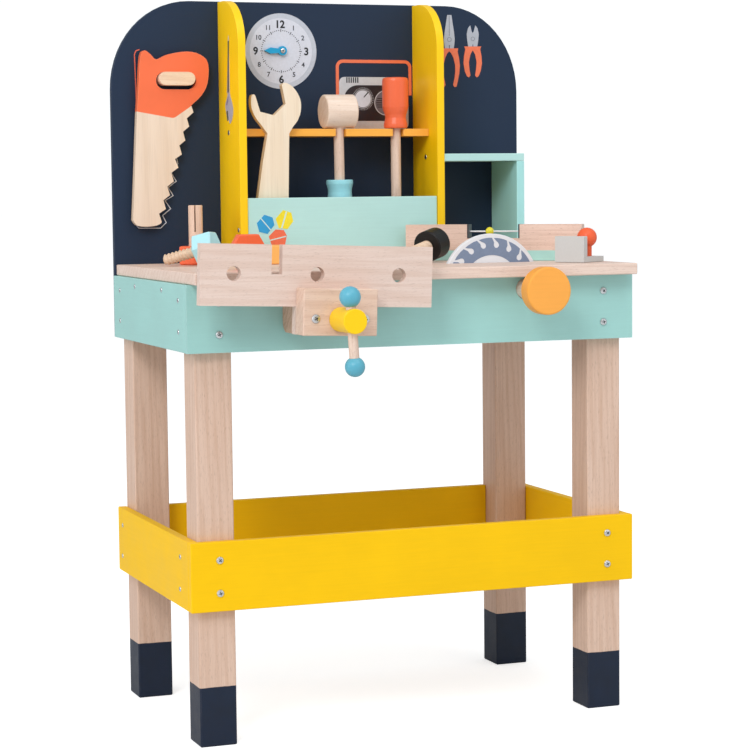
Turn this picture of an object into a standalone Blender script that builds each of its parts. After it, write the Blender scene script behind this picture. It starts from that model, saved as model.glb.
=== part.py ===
"""Wooden toy tool bench: table frame with a tray, worktop, tool wall, a screw vise,
a hand-turned saw disc and a set of loose wooden tools and fixings.

World: metres, +Z up, +X to the bench's right as seen from its front, front faces -Y.
Origin: centre of the bounding box footprint, on the floor. Pieces are drawn in bench
coordinates, centred on the table frame, and moved by SHIFT when they become objects.
"""
import math
import bpy
import bmesh
from mathutils import Matrix, Vector

# ------------------------------------------------------------------ shared dimensions
GAP = 0.0003                    # clearance between neighbouring pieces
HOLE_LEAD = 0.0010              # how far a screw hole's cutter starts ahead of the face

# Widths of the eased edges
EASE_FINE, EASE_SMALL, EASE_MEDIUM, EASE_WIDE, EASE_HEX = 0.0006, 0.0008, 0.0010, 0.0012, 0.0015

BOX_W, BOX_D = 0.5746, 0.3400   # outer size over the apron and tray boards
HALF_W, HALF_D = BOX_W / 2, BOX_D / 2
BOARD = 0.0115                  # apron and tray board thickness
LEG = 0.0450                    # square leg
RAIL_Z0, RAIL_Z1 = 0.1630, 0.2455
APRON_Z0, APRON_Z1 = 0.4670, 0.5465
TOP_Z0, TOP_Z1 = APRON_Z1 + GAP, 0.5606
TOP_W, TOP_FRONT = 0.5662, -0.1929
ON_TOP = TOP_Z1 + GAP           # height at which pieces stand on the worktop
TOTAL_H = 0.9000

PANEL_Y0, PANEL_T = HALF_D, 0.0090
WALL_Y = PANEL_Y0 - GAP         # rear end of the pieces that meet the wall

TOOL_Y = 0.1220                 # line on which hammer and screwdriver hang
HAMMER_X, DRIVER_X = 0.0072, 0.0875
SHELF_Z0, SHELF_Z1 = 0.7238, 0.7335
TOOL_ROD_R = 0.0067             # hammer handle and screwdriver shaft

VISE_X, VISE_Z = -0.1307, 0.5070
VISE_TILT = math.radians(2.0)
HUB_Y0 = -0.3090
# Jaw board edges, measured from the vise axis
JAW_LEFT, JAW_RIGHT, JAW_LOW, JAW_HIGH = -0.1595, 0.1227, 0.0131, 0.0836

# The bench reaches from the tilted jaw's lower left corner to the right-hand boards,
# and from the vise hub to the back of the wall.
X_MIN = VISE_X + JAW_LEFT * math.cos(VISE_TILT) + JAW_LOW * math.sin(VISE_TILT)
SHIFT = Vector((-(X_MIN + HALF_W) / 2, -(HUB_Y0 + PANEL_Y0 + PANEL_T) / 2, 0.0))

X_AXIS, Y_AXIS, Z_AXIS = (1, 0, 0), (0, 1, 0), (0, 0, 1)
SIDES = ((-1, "left"), (1, "right"))

# Finishes: base colour, roughness, metallic
BEECH = ((0.76, 0.55, 0.40), 0.55, 0.0)
PLY = ((0.80, 0.64, 0.45), 0.55, 0.0)
MINT = ((0.37, 0.66, 0.58), 0.45, 0.0)
PALE_MINT = ((0.46, 0.73, 0.67), 0.45, 0.0)
YELLOW = ((0.90, 0.58, 0.02), 0.42, 0.0)
NAVY = ((0.018, 0.030, 0.060), 0.50, 0.0)
AMBER = ((0.93, 0.42, 0.06), 0.42, 0.0)
CORAL = ((0.85, 0.15, 0.05), 0.42, 0.0)
TEAL = ((0.07, 0.38, 0.48), 0.40, 0.0)
AQUA = ((0.37, 0.70, 0.75), 0.42, 0.0)
BLUE = ((0.03, 0.42, 0.62), 0.42, 0.0)
BLACK = ((0.012, 0.012, 0.014), 0.45, 0.0)
GREY = ((0.48, 0.48, 0.48), 0.50, 0.0)
PALE_GREY = ((0.62, 0.65, 0.72), 0.45, 0.0)
LEMON = ((0.80, 0.70, 0.04), 0.40, 0.0)
WHITE = ((0.85, 0.86, 0.86), 0.45, 0.0)
ZINC = ((0.62, 0.62, 0.62), 0.30, 1.0)

# ------------------------------------------------------------------ clean start
for old in list(bpy.data.objects):
    bpy.data.objects.remove(old, do_unlink=True)

parts = bpy.data.collections.new("toy_tool_bench")
cutters = bpy.data.collections.new("cutters")
for collection in (parts, cutters):
    bpy.context.scene.collection.children.link(collection)


# ------------------------------------------------------------------ objects and holes
def material(name, color, roughness, metallic):
    result = bpy.data.materials.new(name)
    result.use_nodes = True
    inputs = result.node_tree.nodes["Principled BSDF"].inputs
    inputs["Base Color"].default_value = (*color, 1.0)
    inputs["Roughness"].default_value = roughness
    inputs["Metallic"].default_value = metallic
    result.diffuse_color = (*color, 1.0)
    return result


def make_object(collection, name, mesh, origin, matrix):
    """Turn a bmesh, moved by `matrix` into bench coordinates, into an object."""
    origin = Vector(origin)
    bmesh.ops.transform(mesh, matrix=matrix, verts=mesh.verts)
    bmesh.ops.translate(mesh, vec=-origin, verts=mesh.verts)
    bmesh.ops.recalc_face_normals(mesh, faces=mesh.faces)
    data = bpy.data.meshes.new(name)
    mesh.to_mesh(data)
    mesh.free()
    ob = bpy.data.objects.new(name, data)
    ob.location = origin + SHIFT
    collection.objects.link(ob)
    return ob


def add(name, mesh, finish, origin, matrix=Matrix()):
    ob = make_object(parts, name, mesh, origin, matrix)
    ob.data.materials.append(material(name + "_mat", *finish))
    return ob


def cut(targets, name, mesh, matrix=Matrix()):
    """Subtract a hidden cutter from every target."""
    cutter = make_object(cutters, name, mesh, (0, 0, 0), matrix)
    cutter.hide_render = True
    cutter.display_type = "WIRE"
    for target in targets:
        boolean = target.modifiers.new("cut_" + name, "BOOLEAN")
        boolean.operation = "DIFFERENCE"
        boolean.solver = "EXACT"
        boolean.object = cutter


def aim(base, direction):
    """Matrix taking the local +Z axis to `direction`, local origin to `base`."""
    turn = Vector(Z_AXIS).rotation_difference(Vector(direction).normalized())
    return Matrix.Translation(Vector(base)) @ turn.to_matrix().to_4x4()


def drill(targets, name, base, direction, radius, length, sides, matrix=Matrix()):
    cut(targets, "hole_" + name, lathe(rod(radius, length), sides), matrix @ aim(base, direction))


# ------------------------------------------------------------------ solids
def loft(rings, smooth=False):
    """Closed solid through rings of points, bottom to top."""
    mesh = bmesh.new()
    rings = [[mesh.verts.new(point) for point in ring] for ring in rings]
    mesh.faces.new(rings[0][::-1])
    mesh.faces.new(rings[-1])
    for lower, upper in zip(rings, rings[1:]):
        for i in range(len(lower)):
            j = (i + 1) % len(lower)
            mesh.faces.new((lower[i], lower[j], upper[j], upper[i])).smooth = smooth
    return mesh


def prism(outline, axis, low, high):
    """Solid with a flat outline; axis is the extrusion direction."""
    place = {"x": lambda a, b, c: (c, a, b),
             "y": lambda a, b, c: (a, c, b),
             "z": lambda a, b, c: (a, b, c)}[axis]
    return loft([[place(a, b, c) for a, b in outline] for c in (low, high)])


def ring(radius, z, sides, turn=0.0):
    angles = [turn + 2 * math.pi * k / sides for k in range(sides)]
    return [(radius * math.cos(angle), radius * math.sin(angle), z) for angle in angles]


def lathe(profile, sides):
    """Solid of revolution about +Z from (radius, height) pairs, bottom to top."""
    return loft([ring(radius, z, sides) for radius, z in profile], smooth=True)


def hex_head(across, height, turn=0.0, edge=EASE_HEX):
    """Hexagon about +Z with eased rims; `across` is measured over the flats."""
    full, small = across / math.sqrt(3), (across - 2 * edge) / math.sqrt(3)
    return loft([ring(radius, z, 6, turn) for radius, z in
                 ((small, 0.0), (full, edge), (full, height - edge), (small, height))])


def box(x0, x1, y0, y1, z0, z1, edge=0.0):
    mesh = bmesh.new()
    bmesh.ops.create_cube(mesh, size=1.0)
    bmesh.ops.scale(mesh, vec=(x1 - x0, y1 - y0, z1 - z0), verts=mesh.verts)
    bmesh.ops.translate(mesh, vec=((x0 + x1) / 2, (y0 + y1) / 2, (z0 + z1) / 2),
                        verts=mesh.verts)
    if edge:
        bmesh.ops.bevel(mesh, geom=list(mesh.edges), offset=edge, segments=1, affect="EDGES")
    return mesh


# ------------------------------------------------------------------ profiles and curves
def rod(radius, length, edge=0.0):
    if edge:
        return [(radius - edge, 0.0), (radius, edge),
                (radius, length - edge), (radius - edge, length)]
    return [(radius, 0.0), (radius, length)]


def ball(radius, count):
    """Sphere profile closed by tiny flats at the poles."""
    angles = [math.pi * (k + 0.3) / (count - 0.4) for k in range(count)]
    return [(radius * math.sin(angle), -radius * math.cos(angle)) for angle in angles]


def arc(center_a, center_b, radius_a, radius_b, start, end, steps):
    """Elliptic arc between two angles in degrees."""
    angles = [math.radians(start + (end - start) * k / steps) for k in range(steps + 1)]
    return [(center_a + radius_a * math.cos(angle), center_b + radius_b * math.sin(angle))
            for angle in angles]


def flat_oval(x, z, half, radius, steps):
    """Two half circles joined by straight sides; `half` is half the full width."""
    reach = half - radius
    return (arc(x + reach, z, radius, radius, -90, 90, steps)
            + arc(x - reach, z, radius, radius, 90, 270, steps))


def smooth_line(points, steps):
    """Open curve through the points (uniform Catmull-Rom)."""
    curve = []
    for i in range(len(points) - 1):
        before, start, end = points[max(i - 1, 0)], points[i], points[i + 1]
        after = points[min(i + 2, len(points) - 1)]
        for step in range(steps):
            t = step / steps
            curve.append(tuple(
                0.5 * (2 * p1 + (p2 - p0) * t + (2 * p0 - 5 * p1 + 4 * p2 - p3) * t * t
                       + (3 * p1 - p0 - 3 * p2 + p3) * t ** 3)
                for p0, p1, p2, p3 in zip(before, start, end, after)))
    return curve + [tuple(points[-1])]


# ------------------------------------------------------------------ legs
LEG_OUT = HALF_W - BOARD - GAP              # outer face of the legs
LEG_IN = LEG_OUT - LEG - GAP                # clear half width between the legs
FRONT_LEG_Y0 = -HALF_D + BOARD + GAP
REAR_LEG_Y1 = HALF_D - GAP

front_legs = {}
for side, tag in SIDES:
    x0, x1 = sorted((side * LEG_OUT, side * (LEG_OUT - LEG)))
    for row, y0 in (("front", FRONT_LEG_Y0), ("rear", REAR_LEG_Y1 - LEG)):
        leg = add(f"leg_{row}_{tag}", box(x0, x1, y0, y0 + LEG, 0.0, APRON_Z1, EASE_WIDE),
                  BEECH, ((x0 + x1) / 2, y0 + LEG / 2, 0))
        if row == "front":
            front_legs[tag] = leg

# ------------------------------------------------------------------ aprons and tray
FLOOR_Z0, FLOOR_Z1 = 0.1720, 0.1800

apron_front = add("apron_front",
                  box(-HALF_W, HALF_W, -HALF_D, -HALF_D + BOARD, APRON_Z0, APRON_Z1),
                  MINT, (0, -HALF_D, APRON_Z0))
add("tray_rail_front",
    box(-HALF_W, HALF_W, -HALF_D, -HALF_D + BOARD, RAIL_Z0, RAIL_Z1, EASE_SMALL),
    YELLOW, (0, -HALF_D, RAIL_Z0))
add("tray_rail_rear",
    box(-LEG_IN, LEG_IN, REAR_LEG_Y1 - BOARD, REAR_LEG_Y1, RAIL_Z0, RAIL_Z1, EASE_SMALL),
    YELLOW, (0, HALF_D, RAIL_Z0))
for side, tag in SIDES:
    x0, x1 = sorted((side * HALF_W, side * (HALF_W - BOARD)))
    for name, finish, rear_y, z0, z1 in (("apron_", MINT, REAR_LEG_Y1, APRON_Z0, APRON_Z1),
                                         ("tray_rail_", YELLOW, HALF_D, RAIL_Z0, RAIL_Z1)):
        add(name + tag, box(x0, x1, FRONT_LEG_Y0, rear_y, z0, z1, EASE_SMALL),
            finish, ((x0 + x1) / 2, 0, z0))

# Tray floor, notched round the four legs
floor_y0, floor_y1 = FRONT_LEG_Y0, REAR_LEG_Y1 - BOARD - GAP
notch_y0, notch_y1 = FRONT_LEG_Y0 + LEG + GAP, REAR_LEG_Y1 - LEG - GAP
floor_outline = [(-LEG_IN, floor_y0), (LEG_IN, floor_y0), (LEG_IN, notch_y0),
                 (LEG_OUT, notch_y0), (LEG_OUT, notch_y1), (LEG_IN, notch_y1),
                 (LEG_IN, floor_y1), (-LEG_IN, floor_y1), (-LEG_IN, notch_y1),
                 (-LEG_OUT, notch_y1), (-LEG_OUT, notch_y0), (-LEG_IN, notch_y0)]
add("tray_floor", prism(floor_outline, "z", FLOOR_Z0, FLOOR_Z1), PLY, (0, 0, FLOOR_Z0))

# ------------------------------------------------------------------ apron bolts
SCREW_STANDOFF = 0.0024         # how far screw heads stand out of the wood
BOLT_HOLE_R, BOLT_HOLE_LENGTH = 0.0028, 0.0310
# side: x, lower z, upper z
BOLT_PLACES = {"left": (-0.2485, 0.4880, 0.5250), "right": (0.2472, 0.4880, 0.5265)}
# radius, depth from the top of the head
BOLT_PROFILE = [(0.0018, 0.0), (0.0036, 0.0003), (0.0045, 0.0010), (0.0045, 0.0021),
                (0.0025, 0.0021), (0.0025, 0.0290)]

for tag, (x, *heights) in BOLT_PLACES.items():
    for z, height_tag in zip(heights, ("lower", "upper")):
        name = f"apron_bolt_{tag}_{height_tag}"
        drill([apron_front, front_legs[tag]], name, (x, -HALF_D - HOLE_LEAD, z), Y_AXIS,
              BOLT_HOLE_R, BOLT_HOLE_LENGTH, 14)
        add(name, lathe(BOLT_PROFILE, 20), ZINC, (x, -HALF_D, z),
            aim((x, -HALF_D - SCREW_STANDOFF, z), Y_AXIS))

# ------------------------------------------------------------------ worktop with the saw slot
SAW_X, SAW_Y, SAW_Z = 0.1420, -0.0630, 0.5315       # centre of the saw disc
SAW_R, SAW_T = 0.0655, 0.0080
SLOT_HALF, SLOT_W = SAW_R + 0.0005, SAW_T + 0.0024
SLOT_OVERRUN = 0.0100           # cutter beyond each face of the top

worktop = add("worktop", box(-TOP_W / 2, TOP_W / 2, TOP_FRONT, WALL_Y, TOP_Z0, TOP_Z1,
                             EASE_MEDIUM), BEECH, (0, 0, TOP_Z0))
cut([worktop], "slot", box(SAW_X - SLOT_HALF, SAW_X + SLOT_HALF,
                           SAW_Y - SLOT_W / 2, SAW_Y + SLOT_W / 2,
                           TOP_Z0 - SLOT_OVERRUN, TOP_Z1 + SLOT_OVERRUN))

# ------------------------------------------------------------------ back panel
PANEL_HALF, PANEL_FLAT, PANEL_SHOULDER = 0.2850, 0.1800, 0.7850
CLOCK_X, CLOCK_Z = -0.0541, 0.8372
PIVOT_HOLE_R, PIVOT_HOLE_LENGTH = 0.0016, 0.0075

corner_w, corner_h = PANEL_HALF - PANEL_FLAT, TOTAL_H - PANEL_SHOULDER
panel_outline = ([(-PANEL_HALF, APRON_Z0), (PANEL_HALF, APRON_Z0)]
                 + arc(PANEL_FLAT, PANEL_SHOULDER, corner_w, corner_h, 0, 90, 14)
                 + arc(-PANEL_FLAT, PANEL_SHOULDER, corner_w, corner_h, 90, 180, 14))
panel = add("back_panel", prism(panel_outline, "y", PANEL_Y0, PANEL_Y0 + PANEL_T), NAVY,
            (0, PANEL_Y0, APRON_Z0))
drill([panel], "clock_pivot", (CLOCK_X, PANEL_Y0 - HOLE_LEAD, CLOCK_Z), Y_AXIS,
      PIVOT_HOLE_R, PIVOT_HOLE_LENGTH, 16)

# ------------------------------------------------------------------ fins
FIN_X0, FIN_X1 = 0.1313, 0.1413
FIN_FRONT, FIN_ROUND_Y, FIN_ROUND_Z, FIN_TOP = 0.0830, 0.1500, 0.8400, 0.8990

fin_outline = ([(FIN_FRONT, ON_TOP)]
               + arc(FIN_ROUND_Y, FIN_ROUND_Z, FIN_ROUND_Y - FIN_FRONT, FIN_TOP - FIN_ROUND_Z,
                     180, 90, 14)
               + [(WALL_Y, FIN_TOP), (WALL_Y, ON_TOP)])
for side, tag in SIDES:
    low, high = sorted((side * FIN_X0, side * FIN_X1))
    add("fin_" + tag, prism(fin_outline, "x", low, high), YELLOW,
        (side * FIN_X0, PANEL_Y0, TOP_Z1))

# ------------------------------------------------------------------ shelf, pocket, cubby, peg
SHELF_Y0 = 0.1120
HAMMER_NOTCH_W, DRIVER_NOTCH_W = 0.0144, 0.0148
POCKET_Y0, POCKET_Y1, POCKET_Z1 = 0.0850, 0.0950, 0.6445
CUBBY_X0, CUBBY_X1 = FIN_X1 + GAP, 0.2575
CUBBY_Z0, CUBBY_Z1, CUBBY_SIDE = 0.6900, 0.7000, 0.0110
PEG_X, PEG_Y0, PEG_Z, PEG_HALF, PEG_R = -0.2024, 0.1500, 0.7990, 0.0242, 0.0086


def notch(x, width):
    """Open slot in the shelf front, read from left to right."""
    half = width / 2
    return ([(x - half, SHELF_Y0)] + arc(x, TOOL_Y, half, half, 180, 0, 8)
            + [(x + half, SHELF_Y0)])


inner = FIN_X0 - GAP            # clear half width between the fins
shelf_outline = ([(-inner, WALL_Y), (-inner, SHELF_Y0)]
                 + notch(HAMMER_X, HAMMER_NOTCH_W) + notch(DRIVER_X, DRIVER_NOTCH_W)
                 + [(inner, SHELF_Y0), (inner, WALL_Y)])
add("tool_shelf", prism(shelf_outline, "z", SHELF_Z0, SHELF_Z1), AMBER,
    (0, PANEL_Y0, SHELF_Z0))
add("pocket_front", box(-inner, inner, POCKET_Y0, POCKET_Y1, ON_TOP, POCKET_Z1, EASE_SMALL),
    PALE_MINT, (0, POCKET_Y0, TOP_Z1))
add("cubby_top", box(CUBBY_X0, CUBBY_X1, POCKET_Y0, WALL_Y, CUBBY_Z0, CUBBY_Z1, EASE_FINE),
    PALE_MINT, (CUBBY_X0, PANEL_Y0, CUBBY_Z0))
add("cubby_side", box(CUBBY_X1 - CUBBY_SIDE, CUBBY_X1, POCKET_Y0, WALL_Y,
                      ON_TOP, CUBBY_Z0 - GAP, EASE_FINE),
    PALE_MINT, (CUBBY_X1, PANEL_Y0, TOP_Z1))

# Hanging peg for the hand saw: a flat-oval bar standing out of the wall
add("saw_peg", prism(flat_oval(PEG_X, PEG_Z, PEG_HALF, PEG_R, 8), "y", PEG_Y0, WALL_Y),
    BEECH, (PEG_X, PANEL_Y0, PEG_Z))

# ------------------------------------------------------------------ clock hand and its screw
HAND_Y0, HAND_Y1 = 0.1652, 0.1695
HAND_HUB_R, HAND_NECK_HALF = 0.0062, 0.0030
HAND_TIP, HAND_BARB, HAND_BARB_HALF = 0.0250, 0.0165, 0.0042    # reach, reach, half height
HAND_EYE_Y0, HAND_EYE_R, HAND_EYE_LENGTH = 0.1640, 0.0017, 0.0070
CLOCK_SCREW_Y0 = 0.1629
# radius, depth from the top of the head
CLOCK_SCREW_PROFILE = [(0.0016, 0.0), (0.0030, 0.0004), (0.0034, 0.0014), (0.0034, 0.0020),
                       (0.0013, 0.0020), (0.0013, 0.0120)]

clock_origin = (CLOCK_X, PANEL_Y0, CLOCK_Z)
neck = math.degrees(math.asin(HAND_NECK_HALF / HAND_HUB_R))
hand_outline = (arc(CLOCK_X, CLOCK_Z, HAND_HUB_R, HAND_HUB_R, -180 + neck, 180 - neck, 20)
                + [(CLOCK_X - HAND_BARB, CLOCK_Z + HAND_BARB_HALF),
                   (CLOCK_X - HAND_TIP, CLOCK_Z),
                   (CLOCK_X - HAND_BARB, CLOCK_Z - HAND_BARB_HALF)])
hand = add("clock_hand", prism(hand_outline, "y", HAND_Y0, HAND_Y1), BLUE, clock_origin)
drill([hand], "hand_eye", (CLOCK_X, HAND_EYE_Y0, CLOCK_Z), Y_AXIS,
      HAND_EYE_R, HAND_EYE_LENGTH, 16)
add("clock_pivot_screw", lathe(CLOCK_SCREW_PROFILE, 20), ZINC, clock_origin,
    aim((CLOCK_X, CLOCK_SCREW_Y0, CLOCK_Z), Y_AXIS))

# ------------------------------------------------------------------ vise blocks and jaw
JAW_Y0, JAW_Y1 = -0.2320, -0.2200
JAW_NOTCH_X, JAW_NOTCH_HALF, JAW_NOTCH_Z = VISE_X - 0.0685, 0.0064, VISE_Z + 0.0496
TAB_HALF, TAB_Z = 0.0450, VISE_Z - 0.0190           # jaw tab, as wide as the front block
JAW_HOLES_DX, JAW_HOLE_DZ = (-0.1198, -0.0193, 0.0812), 0.0501
JAW_HOLE_R, JAW_HOLE_LEAD, JAW_HOLE_LENGTH = 0.0085, 0.0050, 0.0220
BLOCK_Y0, BLOCK_Z1 = -0.2597, VISE_Z + 0.0350
REAR_X0, REAR_X1 = VISE_X - 0.0400, VISE_X + 0.0425
REAR_Z0, REAR_Z1, REAR_ROUND = 0.4890, 0.5410, 0.0130
BORE_Y0, BORE_R, BORE_LENGTH = -0.2820, 0.0100, 0.1900
BLOCK_SCREW_DX, BLOCK_SCREW_Z = 0.0300, VISE_Z + 0.0005
BLOCK_HOLE_R, BLOCK_HOLE_LENGTH = 0.0023, 0.0375
# radius, depth from the top of the head
BLOCK_SCREW_PROFILE = [(0.0020, 0.0), (0.0042, 0.0003), (0.0052, 0.0010), (0.0052, 0.0021),
                       (0.0020, 0.0021), (0.0020, 0.0360)]

# The jaw and front block are turned slightly about the vise axis
vise_axis = Vector((VISE_X, 0, VISE_Z))
lean = (Matrix.Translation(vise_axis) @ Matrix.Rotation(VISE_TILT, 4, "Y")
        @ Matrix.Translation(-vise_axis))

# Rear block between jaw and apron, its lower rear edge rounded
y0, y1 = JAW_Y1 + GAP, -HALF_D - GAP
rear_outline = ([(y0, REAR_Z0)]
                + arc(y1 - REAR_ROUND, REAR_Z0 + REAR_ROUND, REAR_ROUND, REAR_ROUND, -90, 0, 8)
                + [(y1, REAR_Z1), (y0, REAR_Z1)])
rear_block = add("vise_rear_block", prism(rear_outline, "x", REAR_X0, REAR_X1), BEECH,
                 (VISE_X, -HALF_D, VISE_Z))

jaw_origin = (VISE_X, JAW_Y1, VISE_Z)
left, right = VISE_X + JAW_LEFT, VISE_X + JAW_RIGHT
low, high = VISE_Z + JAW_LOW, VISE_Z + JAW_HIGH
tab_x0, tab_x1 = VISE_X - TAB_HALF, VISE_X + TAB_HALF
notch_x0, notch_x1 = JAW_NOTCH_X - JAW_NOTCH_HALF, JAW_NOTCH_X + JAW_NOTCH_HALF
jaw_outline = [(left, low), (tab_x0, low), (tab_x0, TAB_Z), (tab_x1, TAB_Z), (tab_x1, low),
               (right, low), (right, high), (notch_x1, high), (notch_x1, JAW_NOTCH_Z),
               (notch_x0, JAW_NOTCH_Z), (notch_x0, high), (left, high)]
jaw = add("vise_jaw_board", prism(jaw_outline, "y", JAW_Y0, JAW_Y1), BEECH, jaw_origin, lean)
for i, dx in enumerate(JAW_HOLES_DX):
    drill([jaw], f"jaw_{i}", (VISE_X + dx, JAW_Y0 - JAW_HOLE_LEAD, VISE_Z + JAW_HOLE_DZ),
          Y_AXIS, JAW_HOLE_R, JAW_HOLE_LENGTH, 28, lean)

front_block = add("vise_front_block", box(tab_x0, tab_x1, BLOCK_Y0, JAW_Y0 - GAP,
                                          TAB_Z, BLOCK_Z1, EASE_MEDIUM),
                  BEECH, jaw_origin, lean)
drill([apron_front, rear_block, jaw, front_block], "vise_bore", (VISE_X, BORE_Y0, VISE_Z),
      Y_AXIS, BORE_R, BORE_LENGTH, 32)
for side, tag in SIDES:
    x = VISE_X + side * BLOCK_SCREW_DX
    drill([front_block, jaw], "block_screw_" + tag, (x, BLOCK_Y0 - HOLE_LEAD, BLOCK_SCREW_Z),
          Y_AXIS, BLOCK_HOLE_R, BLOCK_HOLE_LENGTH, 16, lean)
    add("vise_block_screw_" + tag, lathe(BLOCK_SCREW_PROFILE, 20), ZINC, jaw_origin,
        lean @ aim((x, BLOCK_Y0 - SCREW_STANDOFF, BLOCK_SCREW_Z), Y_AXIS))

# ------------------------------------------------------------------ vise hub, screw and handle
HUB_Y1, HUB_R = BLOCK_Y0 - GAP, 0.0142
SCREW_Y0, SCREW_R, SCREW_LENGTH = -0.2815, 0.0095, 0.1765
SOCKET_LENGTH = 0.0400
BAR_Y, BAR_R, BAR_TILT = -0.2963, 0.0057, math.radians(3.6)
CROSS_HALF = 0.0300             # half length of the cutter through the hub
BALL_TOP_R, BALL_LOW_R = 0.0123, 0.0116
TOP_AT, LOW_AT = HUB_R + BALL_TOP_R + 0.0006, -0.0520   # ball centres along the bar
BAR_END = 0.0045                # how far the rod stops short of each ball centre
BALL_HOLE_LENGTH = 0.0200

hub = add("vise_hub", lathe(rod(HUB_R, HUB_Y1 - HUB_Y0, EASE_SMALL), 40), YELLOW,
          (VISE_X, HUB_Y1, VISE_Z), aim((VISE_X, HUB_Y0, VISE_Z), Y_AXIS))
drill([hub], "hub_socket", (VISE_X, BORE_Y0, VISE_Z), Y_AXIS,
      SCREW_R + GAP, SOCKET_LENGTH, 32)
add("vise_screw", lathe(rod(SCREW_R, SCREW_LENGTH, EASE_MEDIUM), 32), BEECH,
    (VISE_X, HUB_Y1, VISE_Z), aim((VISE_X, SCREW_Y0, VISE_Z), Y_AXIS))

bar_dir = Vector((-math.sin(BAR_TILT), 0, math.cos(BAR_TILT)))
bar_mid = Vector((VISE_X, BAR_Y, VISE_Z))
drill([hub], "hub_cross", bar_mid - bar_dir * CROSS_HALF, bar_dir,
      BAR_R + GAP, 2 * CROSS_HALF, 24)
rod_low, rod_high = LOW_AT + BAR_END, TOP_AT - BAR_END
add("vise_handle_rod", lathe(rod(BAR_R, rod_high - rod_low), 24), BEECH, bar_mid,
    aim(bar_mid + bar_dir * rod_low, bar_dir))
for name, at, radius, sign in (("vise_ball_top", TOP_AT, BALL_TOP_R, 1),
                               ("vise_ball_bottom", LOW_AT, BALL_LOW_R, -1)):
    knob = add(name, lathe(ball(radius, 18), 28), TEAL, bar_mid,
               aim(bar_mid + bar_dir * at, bar_dir))
    drill([knob], name, bar_mid + bar_dir * (at - sign * (BAR_END - GAP)), bar_dir * -sign,
          BAR_R + GAP, BALL_HOLE_LENGTH, 24)

# ------------------------------------------------------------------ saw disc on its shaft
SHAFT_R, SHAFT_LENGTH = 0.0125, 0.1800
SHAFT_HOLE_LEAD, SHAFT_HOLE_PLAY, SHAFT_HOLE_LENGTH = 0.0050, 0.0005, 0.0250
DISC_EYE_LENGTH = 0.0200
KNOB_Y0, KNOB_Y1, KNOB_R = -0.2385, -0.2180, 0.0288
KNOB_SOCKET_AT, KNOB_SHAFT_AT = 0.0110, 0.0115      # behind the knob's front face
KNOB_SOCKET_LENGTH = 0.0200
# Knob rim: inset from the full radius, distance from the face
KNOB_RIM = [(0.0022, 0.0), (0.0006, 0.0007), (0.0, 0.0024)]

saw_origin = (SAW_X, -HALF_D, SAW_Z)
drill([apron_front], "saw_shaft", (SAW_X, -HALF_D - SHAFT_HOLE_LEAD, SAW_Z), Y_AXIS,
      SHAFT_R + SHAFT_HOLE_PLAY, SHAFT_HOLE_LENGTH, 32)
disc = add("saw_disc", lathe(rod(SAW_R, SAW_T, EASE_FINE), 64), PALE_GREY, saw_origin,
           aim((SAW_X, SAW_Y - SAW_T / 2, SAW_Z), Y_AXIS))
drill([disc], "disc_eye", (SAW_X, SAW_Y - DISC_EYE_LENGTH / 2, SAW_Z), Y_AXIS,
      SHAFT_R + GAP, DISC_EYE_LENGTH, 32)
add("saw_shaft", lathe(rod(SHAFT_R, SHAFT_LENGTH, EASE_SMALL), 32), BEECH, saw_origin,
    aim((SAW_X, KNOB_Y0 + KNOB_SHAFT_AT, SAW_Z), Y_AXIS))
knob_profile = ([(KNOB_R - inset, depth) for inset, depth in KNOB_RIM]
                + [(KNOB_R - inset, KNOB_Y1 - KNOB_Y0 - depth)
                   for inset, depth in reversed(KNOB_RIM)])
knob = add("saw_knob", lathe(knob_profile, 48), AMBER, saw_origin,
           aim((SAW_X, KNOB_Y0, SAW_Z), Y_AXIS))
drill([knob], "knob_socket", (SAW_X, KNOB_Y0 + KNOB_SOCKET_AT, SAW_Z), Y_AXIS,
      SHAFT_R + GAP, KNOB_SOCKET_LENGTH, 32)

# ------------------------------------------------------------------ hand saw
HAND_SAW_Y0, HAND_SAW_Y1 = 0.1570, 0.1665
GRIP_HALF, GRIP_R, GRIP_Z, GRIP_OVERRUN = 0.0268, 0.0112, 0.7967, 0.0100
# Outline points are x, z
SAW_HANDLE = [(-0.2553, 0.7568), (-0.2524, 0.7908), (-0.2494, 0.8272), (-0.2437, 0.8350),
              (-0.2357, 0.8300), (-0.2281, 0.8236), (-0.2126, 0.8303), (-0.1872, 0.8342),
              (-0.1690, 0.8302), (-0.1590, 0.8190), (-0.1602, 0.7940), (-0.1687, 0.7778),
              (-0.1828, 0.7650)]
# Tooth tips and gullets in turn, downwards
SAW_TEETH = [(-0.1798, 0.7560), (-0.1889, 0.7484), (-0.1860, 0.7378), (-0.1943, 0.7310),
             (-0.1915, 0.7197), (-0.1996, 0.7134), (-0.1965, 0.7018), (-0.2056, 0.6959),
             (-0.2014, 0.6848), (-0.2111, 0.6781), (-0.2078, 0.6672), (-0.2166, 0.6604),
             (-0.2134, 0.6493), (-0.2222, 0.6429), (-0.2192, 0.6315), (-0.2284, 0.6256),
             (-0.2250, 0.6150)]
SAW_TOE = [(-0.2262, 0.6128), (-0.2320, 0.6104), (-0.2400, 0.6093), (-0.2500, 0.6092),
           (-0.2590, 0.6115), (-0.2632, 0.6180)]
SAW_BACK = [(-0.2609, 0.6565)]

saw_outline = smooth_line(SAW_HANDLE, 3) + SAW_TEETH + smooth_line(SAW_TOE, 2) + SAW_BACK
hand_saw = add("hand_saw", prism(saw_outline, "y", HAND_SAW_Y0, HAND_SAW_Y1), PLY,
               (PEG_X, HAND_SAW_Y1, PEG_Z))
cut([hand_saw], "grip_hole", prism(flat_oval(PEG_X, GRIP_Z, GRIP_HALF, GRIP_R, 10), "y",
                                   HAND_SAW_Y0 - GRIP_OVERRUN, HAND_SAW_Y1 + GRIP_OVERRUN))

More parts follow.
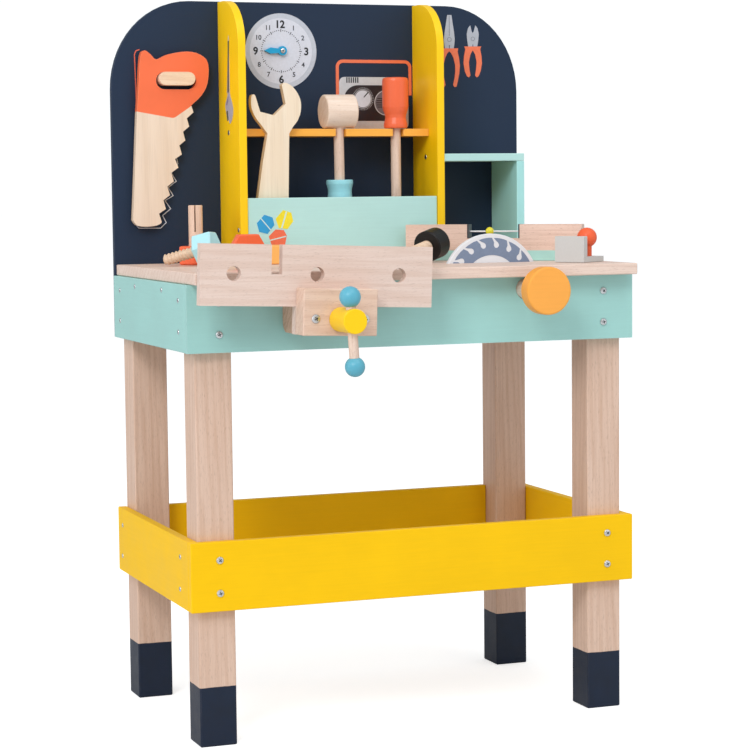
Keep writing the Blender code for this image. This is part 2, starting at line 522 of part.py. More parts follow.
# ------------------------------------------------------------------ open-ended wrench
WRENCH_Y0, WRENCH_Y1 = 0.1000, 0.1100
WRENCH_DX = -0.0020             # sideways move of the whole outline
WRENCH_X, WRENCH_END_Z, WRENCH_END_W, WRENCH_END_H = -0.0910, 0.5740, 0.0220, 0.0130
# Outline points are x, z
WRENCH_LEFT_JAW = [(-0.0961, 0.7270), (-0.1035, 0.7370), (-0.1110, 0.7465), (-0.1162, 0.7570),
                   (-0.1177, 0.7655), (-0.1170, 0.7745), (-0.1140, 0.7772), (-0.1115, 0.7750)]
WRENCH_MOUTH = [(-0.1055, 0.7550), (-0.0868, 0.7504), (-0.0709, 0.7652), (-0.0757, 0.7890)]
WRENCH_RIGHT_JAW = [(-0.0745, 0.7912), (-0.0700, 0.7920), (-0.0620, 0.7880), (-0.0545, 0.7790),
                    (-0.0502, 0.7680), (-0.0505, 0.7550), (-0.0547, 0.7440), (-0.0610, 0.7360),
                    (-0.0665, 0.7270)]
WRENCH_RIGHT_EDGE = [(-0.0672, 0.7000), (-0.0685, 0.6450), (-0.0690, 0.5740)]
WRENCH_LEFT_EDGE = [(-0.1097, 0.6450), (-0.1030, 0.6900)]

wrench_end = arc(WRENCH_X, WRENCH_END_Z, WRENCH_END_W, WRENCH_END_H, 0, -180, 10)
wrench_outline = (smooth_line(WRENCH_LEFT_JAW, 3) + WRENCH_MOUTH
                  + smooth_line(WRENCH_RIGHT_JAW, 3) + WRENCH_RIGHT_EDGE
                  + wrench_end[1:] + WRENCH_LEFT_EDGE)
add("wrench", prism(wrench_outline, "y", WRENCH_Y0, WRENCH_Y1), PLY,
    (WRENCH_X, WRENCH_Y0, TOP_Z1), Matrix.Translation((WRENCH_DX, 0, 0)))

# ------------------------------------------------------------------ hammer
HEAD_R, HEAD_L = 0.0220, 0.0420
HEAD_Z = SHELF_Z1 + 0.0008 + HEAD_R
HAMMER_TILT = math.radians(-0.5)
HANDLE_Z0, HANDLE_Z1 = 0.6360, HEAD_Z + 0.0015
EYE_Z0, EYE_LENGTH = HEAD_Z - 0.0300, 0.0320
GRIP_EYE_LENGTH = 0.0500
# radius, z
HAMMER_GRIP = [(0.0130, 0.5750), (0.0150, 0.5768), (0.0168, 0.5900), (0.0169, 0.6250),
               (0.0163, 0.6430), (0.0156, 0.6510), (0.0158, 0.6545), (0.0168, 0.6590),
               (0.0176, 0.6620), (0.0176, 0.6660), (0.0166, 0.6670)]

hammer_origin = (HAMMER_X, TOOL_Y, HAMMER_GRIP[0][1])
notch_at = Vector((HAMMER_X, TOOL_Y, SHELF_Z1))
hang = (Matrix.Translation(notch_at) @ Matrix.Rotation(HAMMER_TILT, 4, "Y")
        @ Matrix.Translation(-notch_at))
upright = hang @ Matrix.Translation((HAMMER_X, TOOL_Y, 0))
head = add("hammer_head", lathe(rod(HEAD_R, HEAD_L, EASE_WIDE), 48), BEECH, hammer_origin,
           hang @ aim((HAMMER_X - HEAD_L / 2, TOOL_Y, HEAD_Z), X_AXIS))
drill([head], "hammer_eye", (HAMMER_X, TOOL_Y, EYE_Z0), Z_AXIS,
      TOOL_ROD_R + GAP, EYE_LENGTH, 28, hang)
add("hammer_handle", lathe([(TOOL_ROD_R, HANDLE_Z0), (TOOL_ROD_R, HANDLE_Z1)], 28), BEECH,
    hammer_origin, upright)
grip = add("hammer_grip", lathe(HAMMER_GRIP, 36), AQUA, hammer_origin, upright)
drill([grip], "grip_eye", (HAMMER_X, TOOL_Y, HANDLE_Z0 - GAP), Z_AXIS,
      TOOL_ROD_R + GAP, GRIP_EYE_LENGTH, 28, hang)

# ------------------------------------------------------------------ screwdriver
DRIVER_EYE_Z0, DRIVER_EYE_LENGTH = 0.7200, 0.0385
BLADE_HALF, BLADE_LENGTH = 0.0015, 0.0600           # half thickness at the tip, taper length
SHAFT_RINGS = (0.6000, 0.6150, 0.6300, 0.6450, 0.6600, 0.7580)      # z
# radius, z
DRIVER_HANDLE = [(0.0146, 0.7343), (0.0156, 0.7360), (0.0156, 0.7400), (0.0146, 0.7440),
                 (0.0137, 0.7480), (0.0142, 0.7520), (0.0160, 0.7570), (0.0172, 0.7620),
                 (0.0173, 0.7660), (0.0173, 0.7965), (0.0165, 0.7998), (0.0140, 0.8010)]

driver_origin = (DRIVER_X, TOOL_Y, SHAFT_RINGS[0])
driver_place = Matrix.Translation((DRIVER_X, TOOL_Y, 0))
handle = add("screwdriver_handle", lathe(DRIVER_HANDLE, 36), CORAL, driver_origin, driver_place)
drill([handle], "driver_eye", (DRIVER_X, TOOL_Y, DRIVER_EYE_Z0), Z_AXIS,
      TOOL_ROD_R + GAP, DRIVER_EYE_LENGTH, 28)
shaft = lathe([(TOOL_ROD_R, z) for z in SHAFT_RINGS], 28)
for vert in shaft.verts:        # the tip is planed to a flat blade
    taper = (vert.co.z - SHAFT_RINGS[0]) / BLADE_LENGTH
    half = BLADE_HALF + (TOOL_ROD_R - BLADE_HALF) * taper
    vert.co.y = max(-half, min(half, vert.co.y))
add("screwdriver_shaft", shaft, BEECH, driver_origin, driver_place)

# ------------------------------------------------------------------ bolts lying on the worktop
SOCKET = 0.0120                 # depth of the shaft in the head
BLACK_HEAD_R = 0.01975


def lying_bolt(name, tip, heading, radius, length, head_mesh, head_r, finish):
    """Bolt resting on its tip and the near rim of its head; heading runs tip to head."""
    slope = math.atan2(head_r - radius, length)
    level_dir = Vector((*heading, 0)).normalized()
    direction = level_dir * math.cos(slope) + Vector((0, 0, math.sin(slope)))
    base = Vector((*tip, ON_TOP + GAP + radius * math.cos(slope)))
    near = base + direction * length
    lead = 0.0100
    head = add(name + "_head", head_mesh, finish, near, aim(near, direction))
    drill([head], name, near - direction * lead, direction,
          radius + GAP, lead + SOCKET + GAP, 28)
    add(name + "_shaft", lathe(rod(radius, length + SOCKET, EASE_MEDIUM), 28), BEECH, near,
        aim(base, direction))


lying_bolt("blue_bolt", tip=(-0.2465, 0.0676), heading=(0.7870, -0.6170),
           radius=0.0072, length=0.0457, head_r=0.0190, finish=AQUA,
           head_mesh=hex_head(across=0.0367, height=0.0259, turn=-0.1988))
lying_bolt("black_bolt", tip=(0.0292, -0.0467), heading=(0.795, 0.606),
           radius=0.0080, length=0.0617, head_r=BLACK_HEAD_R, finish=BLACK,
           head_mesh=lathe(rod(BLACK_HEAD_R, 0.0260, EASE_WIDE), 40))

# ------------------------------------------------------------------ red bolt standing on its head
RED_AT = Vector((-0.1962, 0.1000, ON_TOP))
RED_TURN = math.radians(-20.7)
RED_ACROSS, RED_HEAD_H, RED_SOCKET_Z = 0.0405, 0.0234, 0.0100
RED_SHAFT_R, RED_SHAFT_LENGTH = 0.0090, 0.0651
KERF_HALF, KERF_REACH, KERF_Z0, KERF_Z1 = 0.0008, 0.0200, 0.6025, 0.6600

red_head = add("red_bolt_head", hex_head(RED_ACROSS, RED_HEAD_H, RED_TURN + math.pi / 2),
               CORAL, RED_AT, Matrix.Translation(RED_AT))
drill([red_head], "red_bolt", RED_AT + Vector((0, 0, RED_SOCKET_Z)), Z_AXIS,
      RED_SHAFT_R + GAP, 0.0300, 28)
red_shaft = add("red_bolt_shaft", lathe(rod(RED_SHAFT_R, RED_SHAFT_LENGTH, EASE_SMALL), 28),
                BEECH, RED_AT, Matrix.Translation(RED_AT + Vector((0, 0, RED_SOCKET_Z + GAP))))
cut([red_shaft], "kerf",
    box(-KERF_HALF, KERF_HALF, -KERF_REACH, KERF_REACH, KERF_Z0, KERF_Z1),
    Matrix.Translation((RED_AT.x, RED_AT.y, 0)) @ Matrix.Rotation(RED_TURN, 4, "Z"))

# ------------------------------------------------------------------ nuts
NUT_BORE = 0.0086               # radius
RED_NUT_ACROSS, RED_NUT_T, RED_NUT_TURN = 0.0420, 0.0180, math.radians(-5.7)
ORANGE_ACROSS, ORANGE_H = 0.0400, 0.0238

# The red nut stands on one flat, the orange one lies on its face
nut_mid = Vector((-0.1965, -0.1200, ON_TOP + RED_NUT_ACROSS / 2))
nut_frame = (Matrix.Translation(nut_mid) @ Matrix.Rotation(RED_NUT_TURN, 4, "Z")
             @ Matrix.Rotation(math.pi / 2, 4, "X"))
red_nut = add("red_nut", hex_head(RED_NUT_ACROSS, RED_NUT_T, edge=EASE_WIDE), CORAL, nut_mid,
              nut_frame @ Matrix.Translation((0, 0, -RED_NUT_T / 2)))
drill([red_nut], "red_nut", (0, 0, -0.02), Z_AXIS, NUT_BORE, 0.04, 28, nut_frame)

orange_at = (-0.1050, 0.0580, ON_TOP)
orange_nut = add("orange_nut", hex_head(ORANGE_ACROSS, ORANGE_H, edge=EASE_WIDE), AMBER,
                 orange_at, Matrix.Translation(orange_at))
drill([orange_nut], "orange_nut", (*orange_at[:2], TOP_Z1 - 0.01), Z_AXIS, NUT_BORE, 0.05, 28)

# ------------------------------------------------------------------ spirit level
LEVEL_L, LEVEL_T, LEVEL_H = 0.2355, 0.0150, 0.0465
LEVEL_AT, LEVEL_TURN = (0.0800, 0.0700, ON_TOP), math.atan2(-0.150, 0.182)
WINDOW_X, WINDOW_HALF, WINDOW_DEEP = 0.1187, 0.0335, 0.0180     # x runs along the body
VIAL_R, VIAL_DROP, VIAL_TENON = 0.0010, 0.0090, 0.0030
BEAD_R, BEAD_DX = 0.0055, -0.0067

level_frame = Matrix.Translation(LEVEL_AT) @ Matrix.Rotation(LEVEL_TURN, 4, "Z")
x0, x1 = WINDOW_X - WINDOW_HALF, WINDOW_X + WINDOW_HALF
sill = LEVEL_H - WINDOW_DEEP
level_outline = [(0, 0), (LEVEL_L, 0), (LEVEL_L, LEVEL_H), (x1, LEVEL_H), (x1, sill),
                 (x0, sill), (x0, LEVEL_H), (0, LEVEL_H)]


def on_vial(x):
    return Vector((x, LEVEL_T / 2, LEVEL_H - VIAL_DROP))


level_origin = level_frame @ on_vial(WINDOW_X)
level = add("level_body", prism(level_outline, "y", 0, LEVEL_T), BEECH, level_origin,
            level_frame)
drill([level], "level_rod", on_vial(x0 - VIAL_TENON - GAP), X_AXIS, VIAL_R + GAP,
      2 * (WINDOW_HALF + VIAL_TENON + GAP), 12, level_frame)
add("level_rod", lathe(rod(VIAL_R, 2 * (WINDOW_HALF + VIAL_TENON)), 12), WHITE, level_origin,
    level_frame @ aim(on_vial(x0 - VIAL_TENON), X_AXIS))
bead_x = WINDOW_X + BEAD_DX
bead = add("level_bead", lathe(ball(BEAD_R, 14), 20), LEMON, level_frame @ on_vial(bead_x),
           level_frame @ aim(on_vial(bead_x), X_AXIS))
drill([bead], "level_bead", on_vial(bead_x - 0.01), X_AXIS, VIAL_R + GAP, 0.02, 12, level_frame)

# ------------------------------------------------------------------ angle bracket and its pin
BRACKET_LEN, BRACKET_FOOT, BRACKET_HIGH = 0.0420, 0.0500, 0.0325
BRACKET_UPRIGHT, BRACKET_BASE = 0.0090, 0.0070      # thicknesses
BRACKET_AT, BRACKET_TURN = (0.2307, -0.1500, ON_TOP), math.atan2(0.56, 0.83)
PIN_X, PIN_Y = 0.0322, 0.0142                       # on the bracket's foot
PIN_R, STEM_R, PIN_H, PIN_HOLE_R = 0.0125, 0.0060, 0.0428, 0.0064
PIN_POLE = 0.06                                     # radians left flat at the top

bracket_frame = Matrix.Translation(BRACKET_AT) @ Matrix.Rotation(BRACKET_TURN, 4, "Z")
bracket_outline = [(0, 0), (BRACKET_FOOT, 0), (BRACKET_FOOT, BRACKET_BASE),
                   (BRACKET_UPRIGHT, BRACKET_BASE), (BRACKET_UPRIGHT, BRACKET_HIGH),
                   (0, BRACKET_HIGH)]
pin_origin = bracket_frame @ Vector((PIN_X, PIN_Y, 0))
bracket = add("angle_bracket", prism(bracket_outline, "y", 0, BRACKET_LEN), GREY, pin_origin,
              bracket_frame)
drill([bracket], "bracket_pin", (PIN_X, PIN_Y, -0.01), Z_AXIS, PIN_HOLE_R, 0.04, 28,
      bracket_frame)

# Straight stem running into a ball head
start = math.asin(STEM_R / PIN_R)
angles = [start + (math.pi - PIN_POLE - start) * k / 14 for k in range(15)]
pin_profile = ([(STEM_R - EASE_FINE, 0.0), (STEM_R, EASE_FINE)]
               + [(PIN_R * math.sin(angle), PIN_H - PIN_R - PIN_R * math.cos(angle))
                  for angle in angles])
add("red_pin", lathe(pin_profile, 28), CORAL, pin_origin, Matrix.Translation(pin_origin))
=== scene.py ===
"""Looks of a toy tool bench, built round its CAD frame.

Up is +Z and the feet stand on z = 0. The bench faces -Y and its left side is at -X.
The tool wall (back_panel) stands at the rear, with a fin at each side, a vise, a saw disc
and loose wooden tools. Places written as plain x and y are measured from the bench centre
(CENTRE_X, CENTRE_Y). All lengths are in metres and palette colours are 8-bit sRGB.
"""

import math

import bmesh
import bpy
from mathutils import Matrix, Vector


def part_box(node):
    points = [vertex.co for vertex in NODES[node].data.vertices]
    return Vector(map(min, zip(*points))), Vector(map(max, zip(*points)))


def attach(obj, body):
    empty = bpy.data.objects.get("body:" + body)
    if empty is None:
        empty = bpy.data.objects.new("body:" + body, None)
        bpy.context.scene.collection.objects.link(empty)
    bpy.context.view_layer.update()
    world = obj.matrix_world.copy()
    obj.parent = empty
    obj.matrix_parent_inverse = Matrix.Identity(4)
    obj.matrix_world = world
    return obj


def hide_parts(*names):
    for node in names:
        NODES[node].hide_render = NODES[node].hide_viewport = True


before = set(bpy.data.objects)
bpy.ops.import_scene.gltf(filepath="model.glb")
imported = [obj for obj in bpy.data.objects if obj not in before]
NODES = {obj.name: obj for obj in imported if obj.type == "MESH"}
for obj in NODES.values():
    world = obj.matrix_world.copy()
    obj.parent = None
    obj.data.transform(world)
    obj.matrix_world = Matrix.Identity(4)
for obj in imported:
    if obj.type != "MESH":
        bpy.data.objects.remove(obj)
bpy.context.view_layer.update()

# ------------------------------------------------------------------ reference positions
WALL_LO, WALL_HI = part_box("back_panel")
CENTRE_X = (WALL_LO.x + WALL_HI.x) / 2
CENTRE_Y = WALL_LO.y - 0.170
PANEL_Y = WALL_LO.y                                 # front face of the tool wall
POCKET_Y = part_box("pocket_front")[0].y
FIN_LEFT_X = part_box("fin_left")[0].x                # outer face of the left fin
FIN_RIGHT_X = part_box("fin_right")[0].x              # inner face of the right fin
LEVEL_LO, LEVEL_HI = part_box("level_body")
LEVEL_TURN = math.atan2(-0.150, 0.182)              # heading of the level's long side
FOOT_TOP = 0.0712                                   # top of the dipped navy feet
LEVEL_BAND = 0.0128                                 # height of the mint band on the level
FRONT, LEFT, RIGHT = (0, -1, 0), (-1, 0, 0), (1, 0, 0)


def at(x, y, z):
    """Frame position of a place measured from the bench centre."""
    return Vector((x + CENTRE_X, y + CENTRE_Y, z))


# ------------------------------------------------------------------ palette, 8-bit sRGB
BEECH_LIGHT, BEECH_DARK = (238, 214, 198), (205, 166, 140)
LEG_LIGHT, LEG_DARK = (225, 195, 176), (200, 162, 137)
TOOL_LIGHT, TOOL_DARK = (232, 206, 188), (200, 164, 140)
BOLT_LIGHT, BOLT_DARK = (232, 206, 180), (198, 160, 126)
PLY_LIGHT, PLY_DARK, GLUE = (234, 214, 194), (225, 202, 179), (196, 156, 116)
MINT, MINT_PALE = (159, 209, 203), (184, 226, 221)
YELLOW, FIN_YELLOW, AMBER, CORAL = (252, 199, 0), (254, 206, 6), (252, 180, 72), (240, 104, 60)
NAVY, BLACK, GREY = (26, 44, 68), (16, 15, 16), (200, 200, 198)
TEAL, AQUA, BLUE = (92, 172, 194), (178, 228, 236), (30, 160, 210)


def lin(rgb):
    """8-bit sRGB to linear RGBA."""
    out = []
    for c in rgb:
        c /= 255.0
        out.append(c / 12.92 if c <= 0.04045 else ((c + 0.055) / 1.055) ** 2.4)
    return (*out, 1.0)


def darker(colour, factor):
    return tuple(c * factor for c in colour[:3]) + (1.0,)


# ------------------------------------------------------------------ material helpers
class Look:
    """A Principled material with short ways to add the usual nodes."""

    def __init__(self, name, rough=0.5, coat=0.0, spec=0.5, metal=0.0):
        self.material = bpy.data.materials.new(name)
        self.material.use_nodes = True
        self.tree = self.material.node_tree
        self.tree.nodes.clear()
        output = self.add("ShaderNodeOutputMaterial")
        self.shader = self.add("ShaderNodeBsdfPrincipled")
        self.link(self.shader.outputs[0], output.inputs[0])
        for socket, value in (("Roughness", rough), ("Metallic", metal),
                              ("Specular IOR Level", spec), ("Coat Weight", coat),
                              ("Coat Roughness", 0.25)):
            self.shader.inputs[socket].default_value = value
        self.position = self.add("ShaderNodeTexCoord").outputs["Object"]

    def add(self, kind, **settings):
        node = self.tree.nodes.new(kind)
        for key, value in settings.items():
            setattr(node, key, value)
        return node

    def link(self, source, target):
        self.tree.links.new(source, target)

    def put(self, socket, value):
        """Links a socket or sets a plain value."""
        if isinstance(value, bpy.types.NodeSocket):
            self.link(value, socket)
        else:
            socket.default_value = value

    def mapped(self, scale, offset=(0, 0, 0), rotation=(0, 0, 0), source=None):
        node = self.add("ShaderNodeMapping")
        self.link(source or self.position, node.inputs["Vector"])
        node.inputs["Scale"].default_value = scale
        node.inputs["Location"].default_value = offset
        node.inputs["Rotation"].default_value = rotation
        return node.outputs[0]

    def noise(self, scale, offset=(0, 0, 0), detail=3.0, rough=0.5, distortion=0.0, source=None):
        """Noise with `scale` features per metre, one number or one for each axis."""
        if isinstance(scale, (int, float)):
            scale = (scale,) * 3
        node = self.add("ShaderNodeTexNoise")
        self.link(self.mapped(scale, offset, source=source), node.inputs["Vector"])
        node.inputs["Scale"].default_value = 1.0
        node.inputs["Detail"].default_value = detail
        node.inputs["Roughness"].default_value = rough
        node.inputs["Distortion"].default_value = distortion
        return node.outputs["Fac"]

    def ramp(self, value, *stops):
        """Colour ramp through two (position, grey) stops."""
        node = self.add("ShaderNodeValToRGB")
        self.link(value, node.inputs[0])
        for element, (position, grey) in zip(node.color_ramp.elements, stops):
            element.position = position
            element.color = (grey, grey, grey, 1.0)
        return node.outputs["Color"]

    def spread(self, noise, low, high):
        """Stretches the middle of a noise over low..high."""
        return self.ramp(noise, (0.3, low), (0.7, high))

    def mix(self, factor, a, b, mode="MIX"):
        node = self.add("ShaderNodeMix", data_type="RGBA", blend_type=mode, clamp_factor=True)
        self.put(node.inputs[0], factor)
        self.put(node.inputs[6], a)
        self.put(node.inputs[7], b)
        return node.outputs[2]

    def calc(self, operation, a, b=0.0, c=0.0, clamp=False):
        node = self.add("ShaderNodeMath", operation=operation, use_clamp=clamp)
        for socket, value in zip(node.inputs, (a, b, c)):
            self.put(socket, value)
        return node.outputs[0]

    def scaled(self, value, by, clamp=False):
        return self.calc("MULTIPLY", value, by, clamp=clamp)

    def tint(self, base, colour, mask, amount):
        """Lays a colour over the base where the mask is high, at most by `amount`."""
        return self.mix(self.scaled(mask, by=amount), base, colour)

    def mottle(self, base, noise, low, high):
        """Multiplies the base by low..high, following the noise."""
        return self.mix(1.0, base, self.spread(noise, low, high), "MULTIPLY")

    def above(self, value, limit, sharpness):
        """0 below the limit, 1 above it; the step is 1 / sharpness wide."""
        return self.scaled(self.calc("SUBTRACT", value, limit), by=sharpness, clamp=True)

    def below(self, value, limit, sharpness):
        """1 below the limit, 0 above it."""
        return self.calc("SUBTRACT", 1.0, self.above(value, limit, sharpness), clamp=True)

    def xyz(self, source=None):
        node = self.add("ShaderNodeSeparateXYZ")
        self.link(source or self.position, node.inputs[0])
        return node.outputs

    def finish(self, colour, rough, height, bump, distance=0.0003):
        """Links colour, roughness and a bump of the given strength; gives the material."""
        node = self.add("ShaderNodeBump")
        self.link(height, node.inputs["Height"])
        node.inputs["Strength"].default_value = bump
        node.inputs["Distance"].default_value = distance
        self.link(colour, self.shader.inputs["Base Color"])
        self.link(rough, self.shader.inputs["Roughness"])
        self.link(node.outputs[0], self.shader.inputs["Normal"])
        return self.material


def along(axis, across, length):
    """Noise scale for grain that runs along an axis."""
    return tuple(length if name == axis else across for name in "xyz")


def seeded(seed, x, y, z):
    return (seed * x, seed * y, seed * z)


def worn_edges(m, radius, seed):
    """1 along the edges, 0 on the flats: rubbed paint on most parts, a painted highlight on the
    hand saw.
    """
    bevel = m.add("ShaderNodeBevel", samples=3)
    bevel.inputs["Radius"].default_value = radius
    geometry = m.add("ShaderNodeNewGeometry")
    dot = m.add("ShaderNodeVectorMath", operation="DOT_PRODUCT")
    m.link(bevel.outputs[0], dot.inputs[0])
    m.link(geometry.outputs["Normal"], dot.inputs[1])
    edge = m.calc("SUBTRACT", 1.0, dot.outputs["Value"])
    breakup = m.noise(70, (seed, seed * 0.7, 1.3), detail=3.0, rough=0.6)
    edge = m.calc("MULTIPLY", edge, m.ramp(breakup, (0.40, 0.15), (0.62, 1.0)))
    return m.scaled(edge, by=5.0, clamp=True)


# Settings of the two beech grains. Scales are (across, along) the grain.
BOARD_GRAIN = dict(
    tone=(22, 3.0), rays=(1500, 190), bands=(46, 3.2),
    distortion=7.0, detail_scale=1.6,    # waviness of the growth bands
    shift=0.2,                           # how far the tone drifts to the dark colour
    band_start=0.45, ray_start=0.60,     # where the masks begin
    fibre_amount=0.45, ray_shade=0.62)
LEG_GRAIN = dict(
    tone=(20, 2.4), rays=(1300, 150), bands=(60, 2.0),
    distortion=8.0, detail_scale=1.4, shift=0.3,
    band_start=0.50, ray_start=0.58, fibre_amount=0.5, ray_shade=0.6)


def beech(m, light, dark, axis, seed, grain, ring, fleck):
    """Soft growth bands, long fibres, short dark ray flecks: colour, fibre and relief."""
    light, dark = lin(light), lin(dark)
    offset = seeded(seed, 3.1, 1.7, 2.3)
    tone = m.noise(along(axis, *grain["tone"]), offset, detail=2.0, rough=0.5)
    fibre = m.noise(along(axis, across=520, length=12), offset, detail=4.0, rough=0.62)
    rays = m.noise(along(axis, *grain["rays"]), offset, detail=2.0, rough=0.5)
    bands = m.add("ShaderNodeTexWave", wave_type="BANDS", bands_direction="DIAGONAL",
                  wave_profile="SIN")
    m.link(m.mapped(along(axis, *grain["bands"]), offset), bands.inputs["Vector"])
    bands.inputs["Scale"].default_value = 1.0
    bands.inputs["Distortion"].default_value = grain["distortion"]
    bands.inputs["Detail"].default_value = 3.0
    bands.inputs["Detail Scale"].default_value = grain["detail_scale"]
    shift = grain["shift"]
    drift = tuple(a * (1 - shift) + b * shift for a, b in zip(light, dark))
    base = m.mix(m.ramp(tone, (0.36, 0.0), (0.66, 1.0)), light, drift)
    band_mask = m.ramp(bands.outputs["Fac"], (grain["band_start"], 0.0), (0.95, 1.0))
    base = m.tint(base, dark, band_mask, amount=ring)
    fibre_mask = m.ramp(fibre, (0.46, 0.0), (0.72, 1.0))
    base = m.tint(base, dark, fibre_mask, amount=grain["fibre_amount"])
    ray_mask = m.ramp(rays, (grain["ray_start"], 0.0), (grain["ray_start"] + 0.10, 1.0))
    base = m.tint(base, darker(dark, grain["ray_shade"]), ray_mask, amount=fleck)
    relief = m.calc("SUBTRACT", m.scaled(fibre, by=0.6), m.scaled(ray_mask, by=0.5))
    return base, fibre, relief


def bare_rough(m, fibre):
    """Roughness of bare wood."""
    return m.ramp(fibre, (0.30, 0.46), (0.75, 0.62))


def wood(name, light, dark, axis, seed, ring, fleck):
    """Oiled beech."""
    m = Look(name, rough=0.52, coat=0.10)
    colour, fibre, relief = beech(m, light, dark, axis, seed, BOARD_GRAIN, ring, fleck)
    return m.finish(colour, bare_rough(m, fibre), relief, bump=0.22, distance=0.00035)


def leg_wood(name, seed):
    """Beech leg with a dipped navy foot."""
    m = Look(name, rough=0.52, coat=0.04, spec=0.35)
    base, fibre, relief = beech(m, LEG_LIGHT, LEG_DARK, "z", seed, LEG_GRAIN,
                                ring=0.34, fleck=0.30)
    offset = seeded(seed, 3.1, 1.7, 2.3)
    z = m.xyz()[2]
    wobble = m.noise((60, 60, 8), offset, detail=2.0, rough=0.5)
    wavy = m.calc("ADD", z, m.scaled(m.calc("SUBTRACT", wobble, 0.5), by=0.0016))
    foot = m.below(wavy, FOOT_TOP - 0.0003, sharpness=1600.0)
    blotch = m.noise(40, offset, detail=4.0, rough=0.6)
    navy = m.mottle(lin((10, 27, 50)), blotch, low=0.85, high=1.15)
    edges = worn_edges(m, radius=0.0016, seed=seed)
    navy = m.tint(navy, lin((120, 110, 112)), edges, amount=0.35)
    rough = m.mix(foot, bare_rough(m, fibre), m.spread(blotch, low=0.40, high=0.52))
    relief = m.calc("ADD", relief, m.scaled(foot, by=0.8))
    return m.finish(m.mix(foot, base, navy), rough, relief, bump=0.22, distance=0.00035)


def paint(name, rgb, rough, axis, seed, wear, worn=None, coat=0.06, grain=0.16, spec=0.30):
    """Satin paint: faint mottling, brushed-out grain, orange peel, rubbed edges."""
    m = Look(name, rough, coat, spec)
    base = lin(rgb)
    worn = lin(worn) if worn else tuple(min(1.0, c * 0.55 + 0.45) for c in base[:3]) + (1.0,)
    offset = seeded(seed, 2.9, 1.3, 4.1)
    blotch = m.noise(13, offset, detail=4.0, rough=0.6)
    brushed = m.noise(along(axis, across=380, length=16), offset, detail=3.0, rough=0.6)
    peel = m.noise(950, offset, detail=2.0, rough=0.5)
    base = m.mottle(base, blotch, low=0.965, high=1.02)
    base = m.mottle(base, brushed, low=0.98, high=1.015)
    if wear:
        base = m.tint(base, worn, worn_edges(m, radius=0.0014, seed=seed), amount=wear)
    sheen = m.calc("ADD", m.ramp(blotch, (0.25, rough - 0.07), (0.75, rough + 0.07)),
                   m.spread(peel, low=0.0, high=0.05))
    height = m.calc("ADD", m.scaled(brushed, by=0.7), m.scaled(peel, by=0.35))
    return m.finish(base, sheen, height, bump=grain)


def ply(m, node, thick, layers, axis, seed, light=PLY_LIGHT, dark=PLY_DARK, glue=GLUE):
    """Birch ply: pale figured faces, stacked veneers on the edges. Gives colour and fibre.

    `thick` is the axis through the sheet and `axis` the way its face grain runs.
    """
    light, dark, glue = lin(light), lin(dark), lin(glue)
    offset = seeded(seed, 2.2, 0.9, 3.7)
    tone = m.noise(along(axis, across=60, length=4), offset,
                   detail=3.0, rough=0.55, distortion=0.6)
    fibre = m.noise(along(axis, across=620, length=16), offset, detail=4.0, rough=0.6)
    base = m.mix(m.ramp(tone, (0.40, 0.0), (0.68, 1.0)), light, dark)
    fibre_mask = m.ramp(fibre, (0.50, 0.0), (0.75, 1.0))
    base = m.tint(base, darker(dark, 0.72), fibre_mask, amount=0.30)

    through = "xyz".index(thick)
    lo, hi = (corner[through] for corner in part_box(node))
    depth = m.xyz()[through]
    normal = m.xyz(m.add("ShaderNodeNewGeometry").outputs["Normal"])
    side = m.calc("SUBTRACT", 1.0, m.calc("ABSOLUTE", normal[through]))
    side = m.ramp(side, (0.35, 0.0), (0.60, 1.0))
    phase = m.scaled(m.calc("SUBTRACT", depth, lo), by=layers * math.pi / (hi - lo))
    wave = m.calc("ABSOLUTE", m.calc("SINE", phase))
    alternate = m.calc("GREATER_THAN", m.calc("SINE", phase), 0.0)
    veneers = m.tint(base, glue, alternate, amount=0.55)
    glue_line = m.ramp(wave, (0.0, 1.0), (0.28, 0.0))
    veneers = m.tint(veneers, darker(glue, 0.55), glue_line, amount=0.7)
    return m.mix(side, base, veneers), fibre


def ink(name, rgb, seed, rough=0.45):
    """Screen-printed ink: slightly uneven coverage and sheen."""
    m = Look(name, rough, coat=0.05)
    offset = seeded(seed, 1.9, 0.6, 1.1)
    cover = m.noise(260, offset, detail=4.0, rough=0.65)
    blotch = m.noise(24, offset, detail=2.0, rough=0.5)
    base = m.mottle(lin(rgb), cover, low=0.93, high=1.04)
    base = m.mottle(base, blotch, low=0.96, high=1.03)
    sheen = m.spread(cover, low=rough - 0.05, high=rough + 0.09)
    return m.finish(base, sheen, cover, bump=0.10, distance=0.0002)


def steel(name, seed):
    """Zinc-plated steel: fine grain, cloudy passivation, painted shade darkening the recesses."""
    m = Look(name, rough=0.28, metal=1.0)
    offset = (seed, seed * 2, 0)
    fine = m.noise(900, offset, detail=3.0, rough=0.6)
    cloud = m.noise(160, offset, detail=3.0, rough=0.6)
    # ambient occlusion darkens the colour in the cross recess and other hollows: painted shade
    occlusion = m.add("ShaderNodeAmbientOcclusion", samples=6)
    occlusion.inputs["Distance"].default_value = 0.0022
    painted_recess_shade = m.ramp(occlusion.outputs["AO"], (0.25, 0.10), (0.80, 1.0))
    bright, dull = (0.74, 0.75, 0.76, 1), (0.55, 0.56, 0.58, 1)
    zinc = m.mix(m.ramp(cloud, (0.35, 0.0), (0.7, 1.0)), bright, dull)
    colour = m.mix(1.0, painted_recess_shade, zinc, "MULTIPLY")
    return m.finish(colour, m.spread(fine, low=0.20, high=0.42), fine, bump=0.12, distance=0.0001)


# ------------------------------------------------------------------ one-off materials
def tray_floor_look():
    m = Look("tray_floor_look", rough=0.55, coat=0.05)
    colour, fibre = ply(m, "tray_floor", thick="z", layers=5, axis="x", seed=2.0)
    return m.finish(colour, m.ramp(fibre, (0.3, 0.48), (0.75, 0.66)), fibre, bump=0.2)


